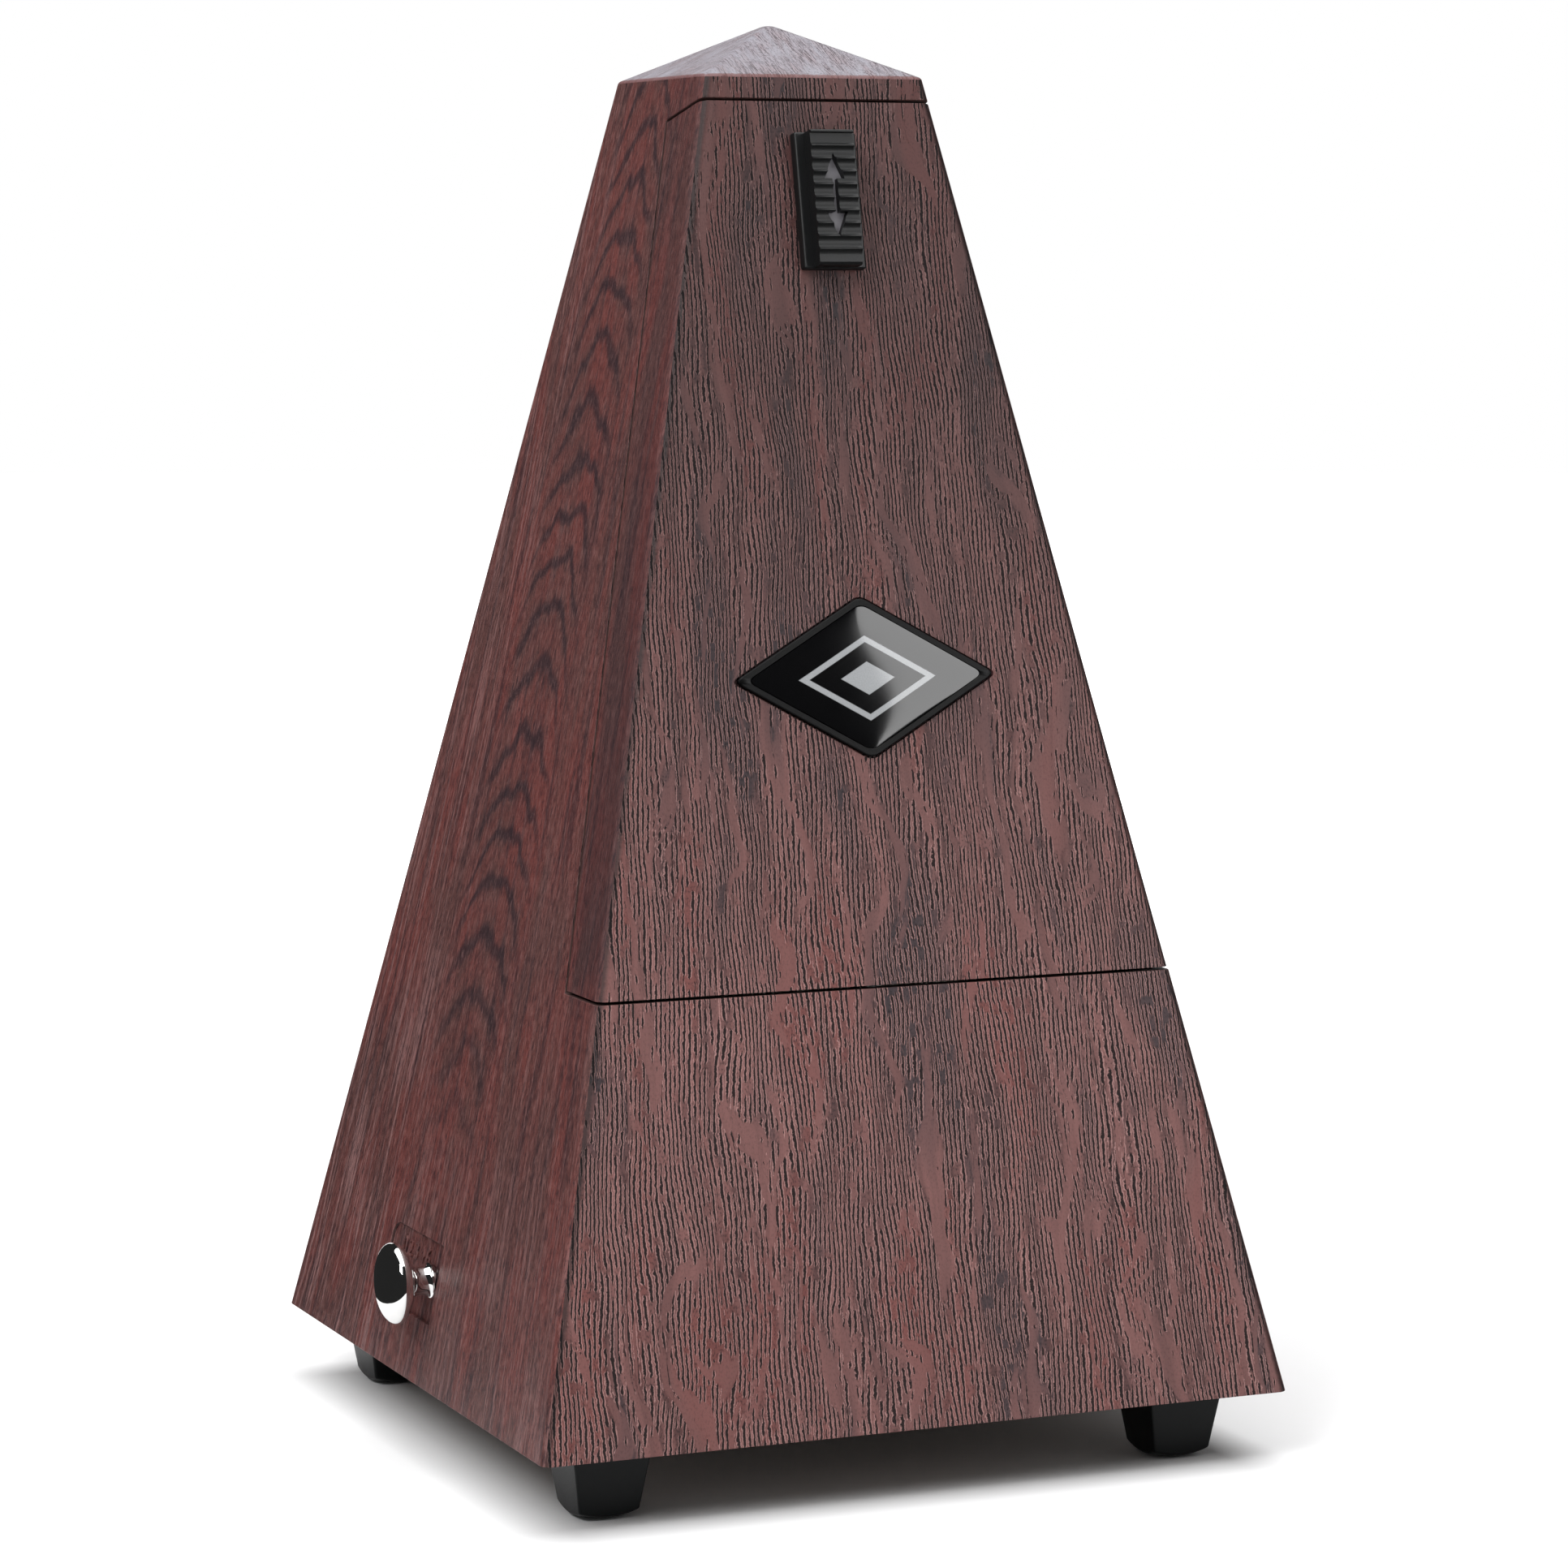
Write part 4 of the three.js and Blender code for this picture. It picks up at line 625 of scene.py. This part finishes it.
def buildCover():
    cover = sheetOf("cover_panel", "cover", sunkHull, *woodFinishes, slot="wood_grain")
    carve(cover, "INTERSECT", sheetOf("cover_room", None, coverSpace(front["seam"])))
    pocketCutter = lambda bm: prism(bm, diamond(0.25 * mm), lambda p: onBadge(p, -3 * mm),
                                    lambda p: onBadge(p, badge["pocket"]))
    carve(cover, "DIFFERENCE",
          sheetOf("hollow", None, innerHull),
          sheetOf("badge_pocket", None, pocketCutter))
    tidyFaces(cover, 0.3)
    soften(cover, housing["softEdge"])
    paintWalls(cover, 0.9 * mm)
    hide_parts("front_cover")
    return cover


def buildTabs():
    # two tongues behind the front's lower edge that hook inside the case
    seamAt = (front["bottom"] + front["seam"]) / leanCos
    low, high = (seamAt + reach for reach in front["tabReach"])
    near, far = front["tabDepth"]
    outline = [(low, near), (seamAt + 1 * mm, near), (seamAt + 1 * mm, housing["wall"] - 0.1 * mm),
               (high, housing["wall"] - 0.1 * mm), (high, far), (low, far)]
    for middle in (-front["tabSpread"], front["tabSpread"]):
        left, right = middle - front["tabHalf"], middle + front["tabHalf"]
        tab = sheetOf("cover_tab", "cover", lambda bm: prism(bm, outline, lambda p: onFront(left, *p),
                                                             lambda p: onFront(right, *p)),
                      innerPlastic, slot="wood_grain")
        soften(tab, 0.3 * mm)


buildHousing()
buildCover()
buildTabs()
print("housing and cover built")


# ---- plastics, resin and metals ----
def makeBlackPlastic(name, dark=shade(8, 9, 10), pale=shade(18, 19, 20), rough=0.28, grit=0.22, shine=0.4):
    finish = Finish(name, Specular_IOR_Level=shine)
    speck = finish.noise(finish.point(finish.x / 0.16, finish.y / 0.16, finish.z / 0.16), detail=2.0)
    smear = finish.noise(finish.point(finish.x / 3, finish.y / 3, finish.z / 4), detail=3.0)
    finish.wear(Base_Color=finish.blend(smear, dark, pale), Roughness=rough + speck * grit)
    finish.bump(speck, 0.012 * mm)
    return finish


def makeResin(name):
    # clear gloss over black print: a thin outline and a small lozenge in silver
    finish = Finish(name, Specular_IOR_Level=0.5, Coat_Roughness=0.02, Roughness=0.06)
    up = (finish.z - (caseBase + badge["centre"] * leanCos) / mm) / leanCos
    wide, tall = badge["width"] / mm / 2, badge["height"] / mm / 2
    reach = abs(finish.x) / wide + abs(up) / tall
    ring = finish.ramp(reach, 0.44, 0.45) * finish.ramp(reach, 0.53, 0.52)
    heart = finish.ramp(reach, 0.21, 0.2)
    flake = finish.noise(finish.point(finish.x / 0.2, 0.0, finish.z / 0.2), detail=1.0)
    silver = finish.blend(flake, shade(132, 134, 136), shade(158, 160, 162))
    black = finish.blend(flake, shade(5, 5, 6), shade(10, 10, 11))
    dust = finish.noise(finish.point(finish.x / 5, 0.0, finish.z / 5), detail=3.0)
    finish.wear(Base_Color=finish.blend(ring + heart, black, silver), Roughness=0.05 + dust * 0.05)
    return finish


def makeMetal(name, pale, dark, rough, scratch=0.18, along="x"):
    finish = Finish(name, Metallic=1.0)
    axes = {"x": (6, 0.12, 0.12), "y": (0.12, 6, 0.12), "z": (0.12, 0.12, 6)}[along]
    brush = finish.noise(finish.point(finish.x / axes[0], finish.y / axes[1], finish.z / axes[2]), detail=3.0)
    stain = finish.noise(finish.point(finish.x / 4, finish.y / 4, finish.z / 4), detail=3.0)
    finish.wear(Base_Color=finish.blend(finish.ramp(stain, 0.35, 0.7), pale, dark), Roughness=rough + brush * scratch)
    finish.bump(brush, 0.004 * mm)
    return finish


def makeChrome(name):
    finish = Finish(name, Metallic=1.0)
    haze = finish.noise(finish.point(finish.x / 2, finish.y / 2, finish.z / 2), detail=3.0)
    nick = finish.noise(finish.point(finish.x / 0.3, finish.y / 0.3, finish.z / 0.3), detail=2.0)
    colour = finish.blend(haze, shade(226, 226, 226), shade(238, 238, 236))
    finish.wear(Base_Color=colour, Roughness=0.035 + finish.ramp(haze, 0.5, 0.8) * 0.05)
    finish.bump(nick, 0.0008 * mm)
    return finish


def makeBoard(name):
    finish = Finish(name)
    fibre = finish.noise(finish.point(finish.x / 1.2, finish.y / 0.3, finish.z / 0.3), detail=4.0)
    colour = finish.blend(finish.ramp(fibre, 0.3, 0.7), shade(58, 44, 36), shade(92, 72, 58))
    finish.wear(Base_Color=colour, Roughness=0.75 + fibre * 0.2)
    finish.bump(fibre, 0.05 * mm)
    return finish


def makeScaleMetal(name):
    finish = Finish(name, Metallic=0.75)
    brush = finish.noise(finish.point(finish.x / 9, finish.y / 0.2, finish.z / 0.12), detail=3.0)
    colour = finish.blend(brush, shade(196, 192, 182), shade(222, 219, 210))
    # printed tempo marks that take turns left and right of the rod
    rung = finish.z / leanCos / 3.2
    index = finish.maths("FLOOR", rung)
    side = finish.maths("MODULO", index, 2.0) * 2 - 1
    mark = finish.ramp(abs(rung - index - 0.5), 0.08, 0.05) * finish.ramp(finish.x * side, 4.4, 4.6)
    mark = mark * finish.ramp(abs(finish.x), 11.2, 11.0)
    finish.wear(Base_Color=finish.blend(mark, colour, shade(16, 16, 18)), Roughness=0.34 + brush * 0.2)
    finish.bump(brush, 0.005 * mm)
    return finish


blackPlastic = makeBlackPlastic("black_plastic", shade(7, 8, 9), shade(14, 15, 16), 0.34, shine=0.42)
arrowFloor = makeBlackPlastic("arrow_floor", shade(104, 102, 107), shade(120, 118, 122), 0.42)
rimPlastic = makeBlackPlastic("rim_plastic", shade(2, 2, 2), shade(5, 5, 6), 0.3, 0.2, 0.14)
footRubber = makeBlackPlastic("foot_rubber", shade(4, 6, 7), shade(8, 11, 12), 0.26, 0.24, 0.16)
resin = makeResin("badge_resin")
chrome = makeChrome("chrome")
steel = makeMetal("steel", shade(176, 178, 180), shade(140, 141, 142), 0.24)
brass = makeMetal("brass", shade(196, 160, 92), shade(160, 124, 66), 0.22)
springSteel = makeMetal("spring_steel", shade(104, 108, 118), shade(74, 78, 90), 0.26)
board = makeBoard("board")
scaleMetal = makeScaleMetal("scale_metal")
print("plastics and metals made")


# ---- badge ----
def buildBadge():
    def frameRing(bm):
        profile = [(0, 0.3 * mm), (0, -badge["proud"] + 0.15 * mm), (-0.15 * mm, -badge["proud"]),
                   (-badge["rim"] + 0.1 * mm, -badge["proud"]), (-badge["rim"], -badge["proud"] + 0.1 * mm),
                   (-badge["rim"], 0.3 * mm)]
        rings = [[bm.verts.new(onBadge(p, depth)) for p in diamond(grow)] for grow, depth in profile]
        loops = rings + rings[:1]
        for outer, inner in zip(loops, loops[1:]):
            count = len(outer)
            for i in range(count):
                bm.faces.new((outer[i], outer[(i + 1) % count], inner[(i + 1) % count], inner[i]))

    ring = sheetOf("badge_rim", "cover", frameRing, rimPlastic, slot="black_plastic")
    smoothOver(ring, 30)
    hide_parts("badge_frame")

    def domeForm(bm):
        corners = diamond(-badge["rim"] - 0.05 * mm)
        rim = []
        for i, p in enumerate(corners):
            after = corners[(i + 1) % len(corners)]
            cuts = 14 if (after - p).length > 3 * mm else 1
            rim += [p.lerp(after, k / cuts) for k in range(cuts)]
        wide, tall = (badge["width"] / 2 - badge["rim"]), (badge["height"] / 2 - badge["rim"] * 0.6)

        def swell(p):
            # a pillow over the lozenge: level at its edges, highest in the middle
            rise = (1 - min(1, abs(p.x / wide + p.y / tall)) ** 2) * (1 - min(1, abs(p.x / wide - p.y / tall)) ** 2)
            return onBadge(p, -badge["proud"] * 0.55 - badge["crown"] * 0.62 * rise ** 0.4)

        steps = 20
        rings = [[bm.verts.new(onBadge(p, 0.2 * mm)) for p in rim]]
        rings += [[bm.verts.new(swell(p * (1 - (k / steps) ** 1.6))) for p in rim] for k in range(steps)]
        crown = bm.verts.new(swell(Vector((0, 0))))
        count = len(rim)
        for outer, inner in zip(rings, rings[1:]):
            for i in range(count):
                bm.faces.new((outer[i], outer[(i + 1) % count], inner[(i + 1) % count], inner[i]))
        for i in range(count):
            bm.faces.new((rings[-1][i], rings[-1][(i + 1) % count], crown))
        bm.faces.new(list(reversed(rings[0])))

    dome = sheetOf("badge_resin_dome", "cover", domeForm, resin, slot="resin")
    smoothOver(dome, 60)
    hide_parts("badge_dome")


# ---- slider catch on the front ----
catch = {
    "low": 173.5 * mm,
    "length": 20.9 * mm,
    "plateHalf": 5.2 * mm,
    "plateProud": 1.9 * mm,
    "gripHalf": 3.5 * mm,
    "gripProud": 4.6 * mm,
    "clear": 0.25 * mm,
    "ribs": 10,
    "ribHeight": 0.5 * mm,
    "arrowLow": 4.3 * mm,  # arrow's ends from the grip's ends
    "arrowHigh": 3.7 * mm,
    "arrowHalf": 1.65 * mm,
    "arrowHead": 3.9 * mm,
    "arrowStem": 0.42 * mm,
    "arrowDepth": 1.5 * mm,
}


def buildCatch():
    low, high = catch["low"], catch["low"] + catch["length"]

    def block(half, proud, start, end, taper):
        outline = [(-half, start), (half, start), (half, end), (-half, end)]
        return lambda bm: prism(bm, outline, lambda p: onFront(p[0], p[1], -catch["clear"]),
                                lambda p: onFront(p[0] * taper, p[1], -proud))

    plate = sheetOf("catch_plate", "latch", block(catch["plateHalf"], catch["plateProud"], low, high, 0.96),
                    blackPlastic, slot="black_plastic")
    soften(plate, 0.35 * mm, steps=3)

    # the grip's outline from the side: flat bands between thin raised ribs
    pitch = (catch["length"] - 1.2 * mm) / catch["ribs"]
    top, dip = -catch["gripProud"], catch["ribHeight"]
    first, last = low + 0.2 * mm, high - 0.2 * mm
    profile = [(first, -catch["clear"]), (first, top + 0.8 * mm), (first + 0.4 * mm, top + dip)]
    for i in range(1, catch["ribs"]):
        start = first + 0.4 * mm + pitch * i
        profile += [(start + pitch * share, top + rise) for share, rise in
                    ((-0.5, dip), (-0.3, dip * 0.8), (-0.14, dip * 0.4), (-0.05, 0.02 * mm), (0.03, 0.0),
                     (0.08, dip * 0.4), (0.2, dip * 0.8))]
    profile += [(last - 0.45 * mm, top + dip), (last - 0.35 * mm, top), (last - 0.1 * mm, top), (last, top + 0.15 * mm),
                (last, -catch["clear"])]
    grip = sheetOf("catch_grip", "latch",
                   lambda bm: prism(bm, profile, lambda p: onFront(-catch["gripHalf"], *p),
                                    lambda p: onFront(catch["gripHalf"], *p)),
                   blackPlastic, arrowFloor, slot="black_plastic")

    def arrow(bm):
        half, head, stem = catch["arrowHalf"], catch["arrowHead"], catch["arrowStem"]
        bottom, tip = low + catch["arrowLow"], high - catch["arrowHigh"]
        right = [(0, bottom), (half, bottom + head), (stem, bottom + head), (stem, tip - head), (half, tip - head), (0, tip)]
        outline = right + [(-x, z) for x, z in reversed(right[1:-1])]
        prism(bm, outline, lambda p: onFront(*p, top - 1 * mm), lambda p: onFront(*p, top + catch["arrowDepth"]))

    carve(grip, "DIFFERENCE", sheetOf("arrow_cut", None, arrow))
    soften(grip, 0.06 * mm, steps=2, angle=50, smooth=30)
    outward = Vector((0, -leanCos, leanSin))
    face = onFront(0, low, top).dot(outward)
    for polygon in grip.data.polygons:
        inset = face - polygon.center.dot(outward)
        if polygon.normal.dot(outward) > 0.95 and abs(inset - catch["arrowDepth"]) < 0.1 * mm:
            polygon.material_index = 1
    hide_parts("latch_slider")


# ---- beat knob, its dial and the winding key ----
beatKnob = {
    "lensRadius": 6.3 * mm,
    "lensThick": 5.1 * mm,
    "neck": 2.15 * mm,
    "flare": 2.7 * mm,
    "steps": 112,
}
digits = {
    "marks": "02346",
    "size": 2.9 * mm,
    "rear": 12.6 * mm,
    "step": 2.75 * mm,
    "along": 17.6 * mm,
    "proud": 0.22 * mm,
}


def buildKnob():
    outer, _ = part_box("selector_knob")
    middle = middleOf("selector_knob")
    wall = onLeft(middle.y, (middle.z - caseBase) / leanCos).x
    reach = wall - outer.x
    rim, thick, neck = beatKnob["lensRadius"], beatKnob["lensThick"], beatKnob["neck"]
    back = reach - thick

    def form(bm):
        profile = [(0, -0.6 * mm), (beatKnob["flare"], -0.6 * mm), (beatKnob["flare"], 0.15 * mm)]
        for i in range(9):
            turn = i / 8 * math.pi / 2
            profile.append((neck + (beatKnob["flare"] - neck) * (1 - math.sin(turn)), 0.15 * mm + 1.4 * mm * (1 - math.cos(turn))))
        for i in range(1, 9):
            share = i / 8
            profile.append((neck + 1.0 * mm * share ** 2.4, 1.55 * mm + (back + 0.35 * mm - 1.55 * mm) * share))
        for i in range(25):
            turn = math.radians(-68 + 158 * i / 24)
            radius = rim * abs(math.cos(turn)) ** 0.92
            profile.append((radius, back + thick / 2 + thick / 2 * math.sin(turn)))
        profile[-1] = (0, reach)
        spin(bm, profile, Vector((wall, middle.y, middle.z)), (-1, 0, 0), beatKnob["steps"])

    piece = sheetOf("beat_knob", "selector", form, chrome, slot="chrome")
    smoothOver(piece, 50)
    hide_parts("selector_knob")


def buildDigits():
    # raised beat numbers on the recess floor, read from the case's left
    for i, mark in enumerate(digits["marks"]):
        text = bpy.data.curves.new("beat_" + mark, "FONT")
        text.body = mark
        text.size = digits["size"] * 1.35
        text.extrude = digits["proud"] / 2
        text.bevel_depth = 0.05 * mm
        text.align_x = "CENTER"
        text.offset = -0.02 * mm
        letter = bpy.data.objects.new("beat_" + mark, text)
        bpy.context.scene.collection.objects.link(letter)
        y = digits["rear"] - digits["step"] * i
        right, up = Vector((0, -1, 0)), Vector((leanSin, 0, leanCos))
        turn = Matrix((right, up, right.cross(up))).transposed().to_4x4()
        letter.matrix_world = Matrix.Translation(onLeft(y, digits["along"], recess["depth"] - digits["proud"] / 2)) @ turn
        bpy.context.view_layer.update()
        mesh = bpy.data.meshes.new_from_object(letter.evaluated_get(bpy.context.evaluated_depsgraph_get()))
        mesh.transform(letter.matrix_world)
        raised = bpy.data.objects.new("beat_number_" + mark, mesh)
        bpy.context.scene.collection.objects.link(raised)
        bpy.data.objects.remove(letter)
        mesh.materials.clear()
        mesh.materials.append(sideGrain.material)
        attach(raised, "case")


windKey = {
    "collar": 4 * mm,
    "thick": 3 * mm,
    "soft": 0.5 * mm,
}


def buildKey():
    low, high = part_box("winding_key")
    middle = middleOf("winding_key")
    collarEnd = low.x + 4.5 * mm
    wing = (high.x - collarEnd) / 2 + 0.5 * mm
    half = (high.y - low.y) / 2
    centre = high.x - wing

    def plate(bm):
        outline = arc((half - wing, 0), wing, -90, 90, 20) + arc((wing - half, 0), wing, 90, 270, 20)
        place = lambda z: lambda p: Vector((centre + p[1], middle.y + p[0], middle.z + z))
        prism(bm, outline, place(-windKey["thick"] / 2), place(windKey["thick"] / 2))

    def collar(bm):
        profile = [(0, 0), (windKey["collar"] * 0.92, 0), (windKey["collar"], 0.4 * mm), (windKey["collar"], 3.6 * mm),
                   (windKey["collar"] * 0.8, 4.8 * mm), (0, 4.8 * mm)]
        spin(bm, profile, Vector((low.x, middle.y, middle.z)), (1, 0, 0), 48)

    wingPlate = sheetOf("key_wings", "winding", plate, chrome, slot="chrome")
    soften(wingPlate, windKey["soft"], steps=3)
    hub = sheetOf("key_collar", "winding", collar, chrome, slot="chrome")
    smoothOver(hub, 30)
    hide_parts("winding_key")


# ---- feet ----
footShape = {
    "topHalf": 6.3 * mm,
    "bottomHalf": 4.7 * mm,
    "cornerDrop": 9.75 * mm,
    "pad": 2.3 * mm,
    "clear": 0.3 * mm,
    "steps": 14,
    "edge": 0.35 * mm,
}


def buildFoot(node):
    middle = middleOf(node)
    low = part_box(node)[0].z
    half, steps = footShape["bottomHalf"], footShape["steps"]
    top = caseBase + footShape["clear"]
    rise = (caseBase - low - footShape["cornerDrop"]) / (2 * half * half - footShape["pad"] ** 2)

    def form(bm):
        points = []
        for i in range(steps + 1):
            for j in range(steps + 1):
                x, y = half * (2 * i / steps - 1), half * (2 * j / steps - 1)
                lift = max(0, x * x + y * y - footShape["pad"] ** 2) * rise
                points.append(Vector((middle.x + x, middle.y + y, low + lift)))
        for x in (-1, 1):
            for y in (-1, 1):
                points.append(Vector((middle.x + x * footShape["topHalf"], middle.y + y * footShape["topHalf"], top)))
        hull(bm, points)

    piece = sheetOf(node + "_boot", "case", form, footRubber, slot="rubber")
    tidyFaces(piece, 0.4)
    soften(piece, footShape["edge"], steps=3, angle=40, smooth=45)
    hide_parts(node)


buildBadge()
buildCatch()
buildKnob()
buildDigits()
buildKey()
for node in sorted(n for n in frame["nodes"] if n.startswith("foot_")):
    buildFoot(node)
print("badge, catch, knob, dial, key and feet built")


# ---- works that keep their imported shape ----
finishOfSlot = {"steel": steel, "brass": brass, "board": board, "scale_metal": scaleMetal,
                "black_plastic": blackPlastic, "chrome": chrome}
slotOf = {entry["node"]: entry["material_slot"] for entry in frame["record"]["subparts"]}
for name, piece in frame["nodes"].items():
    if piece.hide_render:
        continue
    finish = springSteel if "spring" in name else finishOfSlot.get(slotOf.get(name), steel)
    piece.data.materials.clear()
    piece.data.materials.append(finish.material)
print("works finished")


# ---- floor, lights and camera ----
studio = {
    "paper": 0.8,
    "sky": 0.3,
    "skyHeight": 1.9,
    "ceilingPower": 58.0,
    "keyPower": 10.5,
    "tableRadius": 0.11,
    "clearRing": (330, 900),  # millimetres over which the paper turns to plain white
    "lens": 111.3,
    "eye": (-0.2946, -0.6965, 0.1824),
    "look": (0.3903, 0.9144, -0.1072),
}


def seenBy(piece, **kinds):
    # which rays meet a studio piece
    for kind in ("camera", "diffuse", "glossy", "transmission", "volume_scatter", "shadow"):
        setattr(piece, "visible_" + kind, kinds.get(kind, False))


def shellOf(radius):
    return lambda bm: bmesh.ops.create_uvsphere(bm, u_segments=48, v_segments=24, radius=radius)


def card(middle, wide, tall, aim):
    # an upright rectangle that faces aim
    def build(bm):
        way = (Vector(aim) - Vector(middle)).normalized()
        side = way.cross(Vector((0, 0, 1))).normalized()
        up = side.cross(way)
        corners = [Vector(middle) + side * x * wide / 2 + up * z * tall / 2 for x, z in ((-1, -1), (1, -1), (1, 1), (-1, 1))]
        bm.faces.new([bm.verts.new(c) for c in corners])
    return build


def glowing(name, strength, colour=(1, 1, 1, 1)):
    return Finish(name, Base_Color=(0, 0, 0, 1), Roughness=1.0, Specular_IOR_Level=0.0,
                  Emission_Color=colour, Emission_Strength=strength)


def buildStudio():
    def ring(inner, outer):
        def build(bm):
            rims = [[bm.verts.new((r * math.cos(a), r * math.sin(a), 0)) for a in turns] for r in (inner, outer)]
            for i in range(len(turns)):
                bm.faces.new([rims[0][i], rims[0][i - 1], rims[1][i - 1], rims[1][i]])
        turns = [2 * math.pi * i / 96 for i in range(96)]
        return build

    def disc(bm):
        bmesh.ops.create_circle(bm, cap_ends=True, segments=96, radius=studio["tableRadius"])

    finish = Finish("studio_paper", Roughness=0.9, Specular_IOR_Level=0.1, Emission_Strength=1.0)
    tooth = finish.noise(finish.point(finish.x / 3, finish.y / 3, 0.0), detail=2.0)
    level = studio["paper"]
    tint = finish.blend(tooth, (level, level, level, 1), (level * 1.01, level * 1.01, level * 1.02, 1))
    away = finish.maths("SQRT", finish.x * finish.x + finish.y * finish.y)
    glow = finish.blend(finish.ramp(away, *studio["clearRing"]), (0, 0, 0, 1), (1, 1, 1, 1))
    finish.wear(Base_Color=tint, Emission_Color=glow)
    sheetOf("studio_floor", None, disc, finish)
    seenBy(sheetOf("studio_floor_away", None, ring(studio["tableRadius"], 3.5), finish), camera=True, diffuse=True)

    world = bpy.data.worlds.new("studio_sky")
    bpy.context.scene.world = world
    world.use_nodes = True
    sky = world.node_tree.nodes["Background"]
    sky.inputs["Color"].default_value = (1, 1, 1, 1)
    sky.inputs["Strength"].default_value = studio["sky"]

    aim = Vector((0, 0, 0.1))
    seenBy(sheetOf("studio_white", None, shellOf(4.0), glowing("white_surround", 1.0)), camera=True)
    seenBy(sheetOf("studio_dark", None, shellOf(3.8), glowing("dark_surround", 0.02)), glossy=True)
    seenBy(sheetOf("studio_window", None, card((0.66, -0.8, 0.44), 0.52, 0.62, aim), glowing("window_glow", 6.0)),
           glossy=True)
    seenBy(sheetOf("studio_rear_card", None, card((0.34, 1.0, 0.2), 0.66, 0.6, aim), glowing("rear_glow", 1.6)),
           glossy=True)
    for name, place, size, power in (
            ("ceiling", (0.0, 0.0, studio["skyHeight"]), 2.4, studio["ceilingPower"]),
            ("key", (-0.85, -0.6, 0.9), 0.5, studio["keyPower"])):
        light = bpy.data.lights.new(name, "AREA")
        light.shape = "SQUARE"
        light.size = size
        light.energy = power
        lamp = bpy.data.objects.new(name, light)
        bpy.context.scene.collection.objects.link(lamp)
        lamp.location = place
        lamp.rotation_euler = (aim - Vector(place)).to_track_quat("-Z", "Y").to_euler()

    view = bpy.data.cameras.new("view")
    view.lens = studio["lens"]
    view.sensor_width = 36
    view.clip_start = 0.01
    camera = bpy.data.objects.new("view", view)
    bpy.context.scene.collection.objects.link(camera)
    camera.location = studio["eye"]
    camera.rotation_euler = Vector(studio["look"]).to_track_quat("-Z", "Y").to_euler()
    bpy.context.scene.camera = camera
    bpy.context.scene.view_settings.view_transform = "Standard"


buildStudio()
print("studio set")
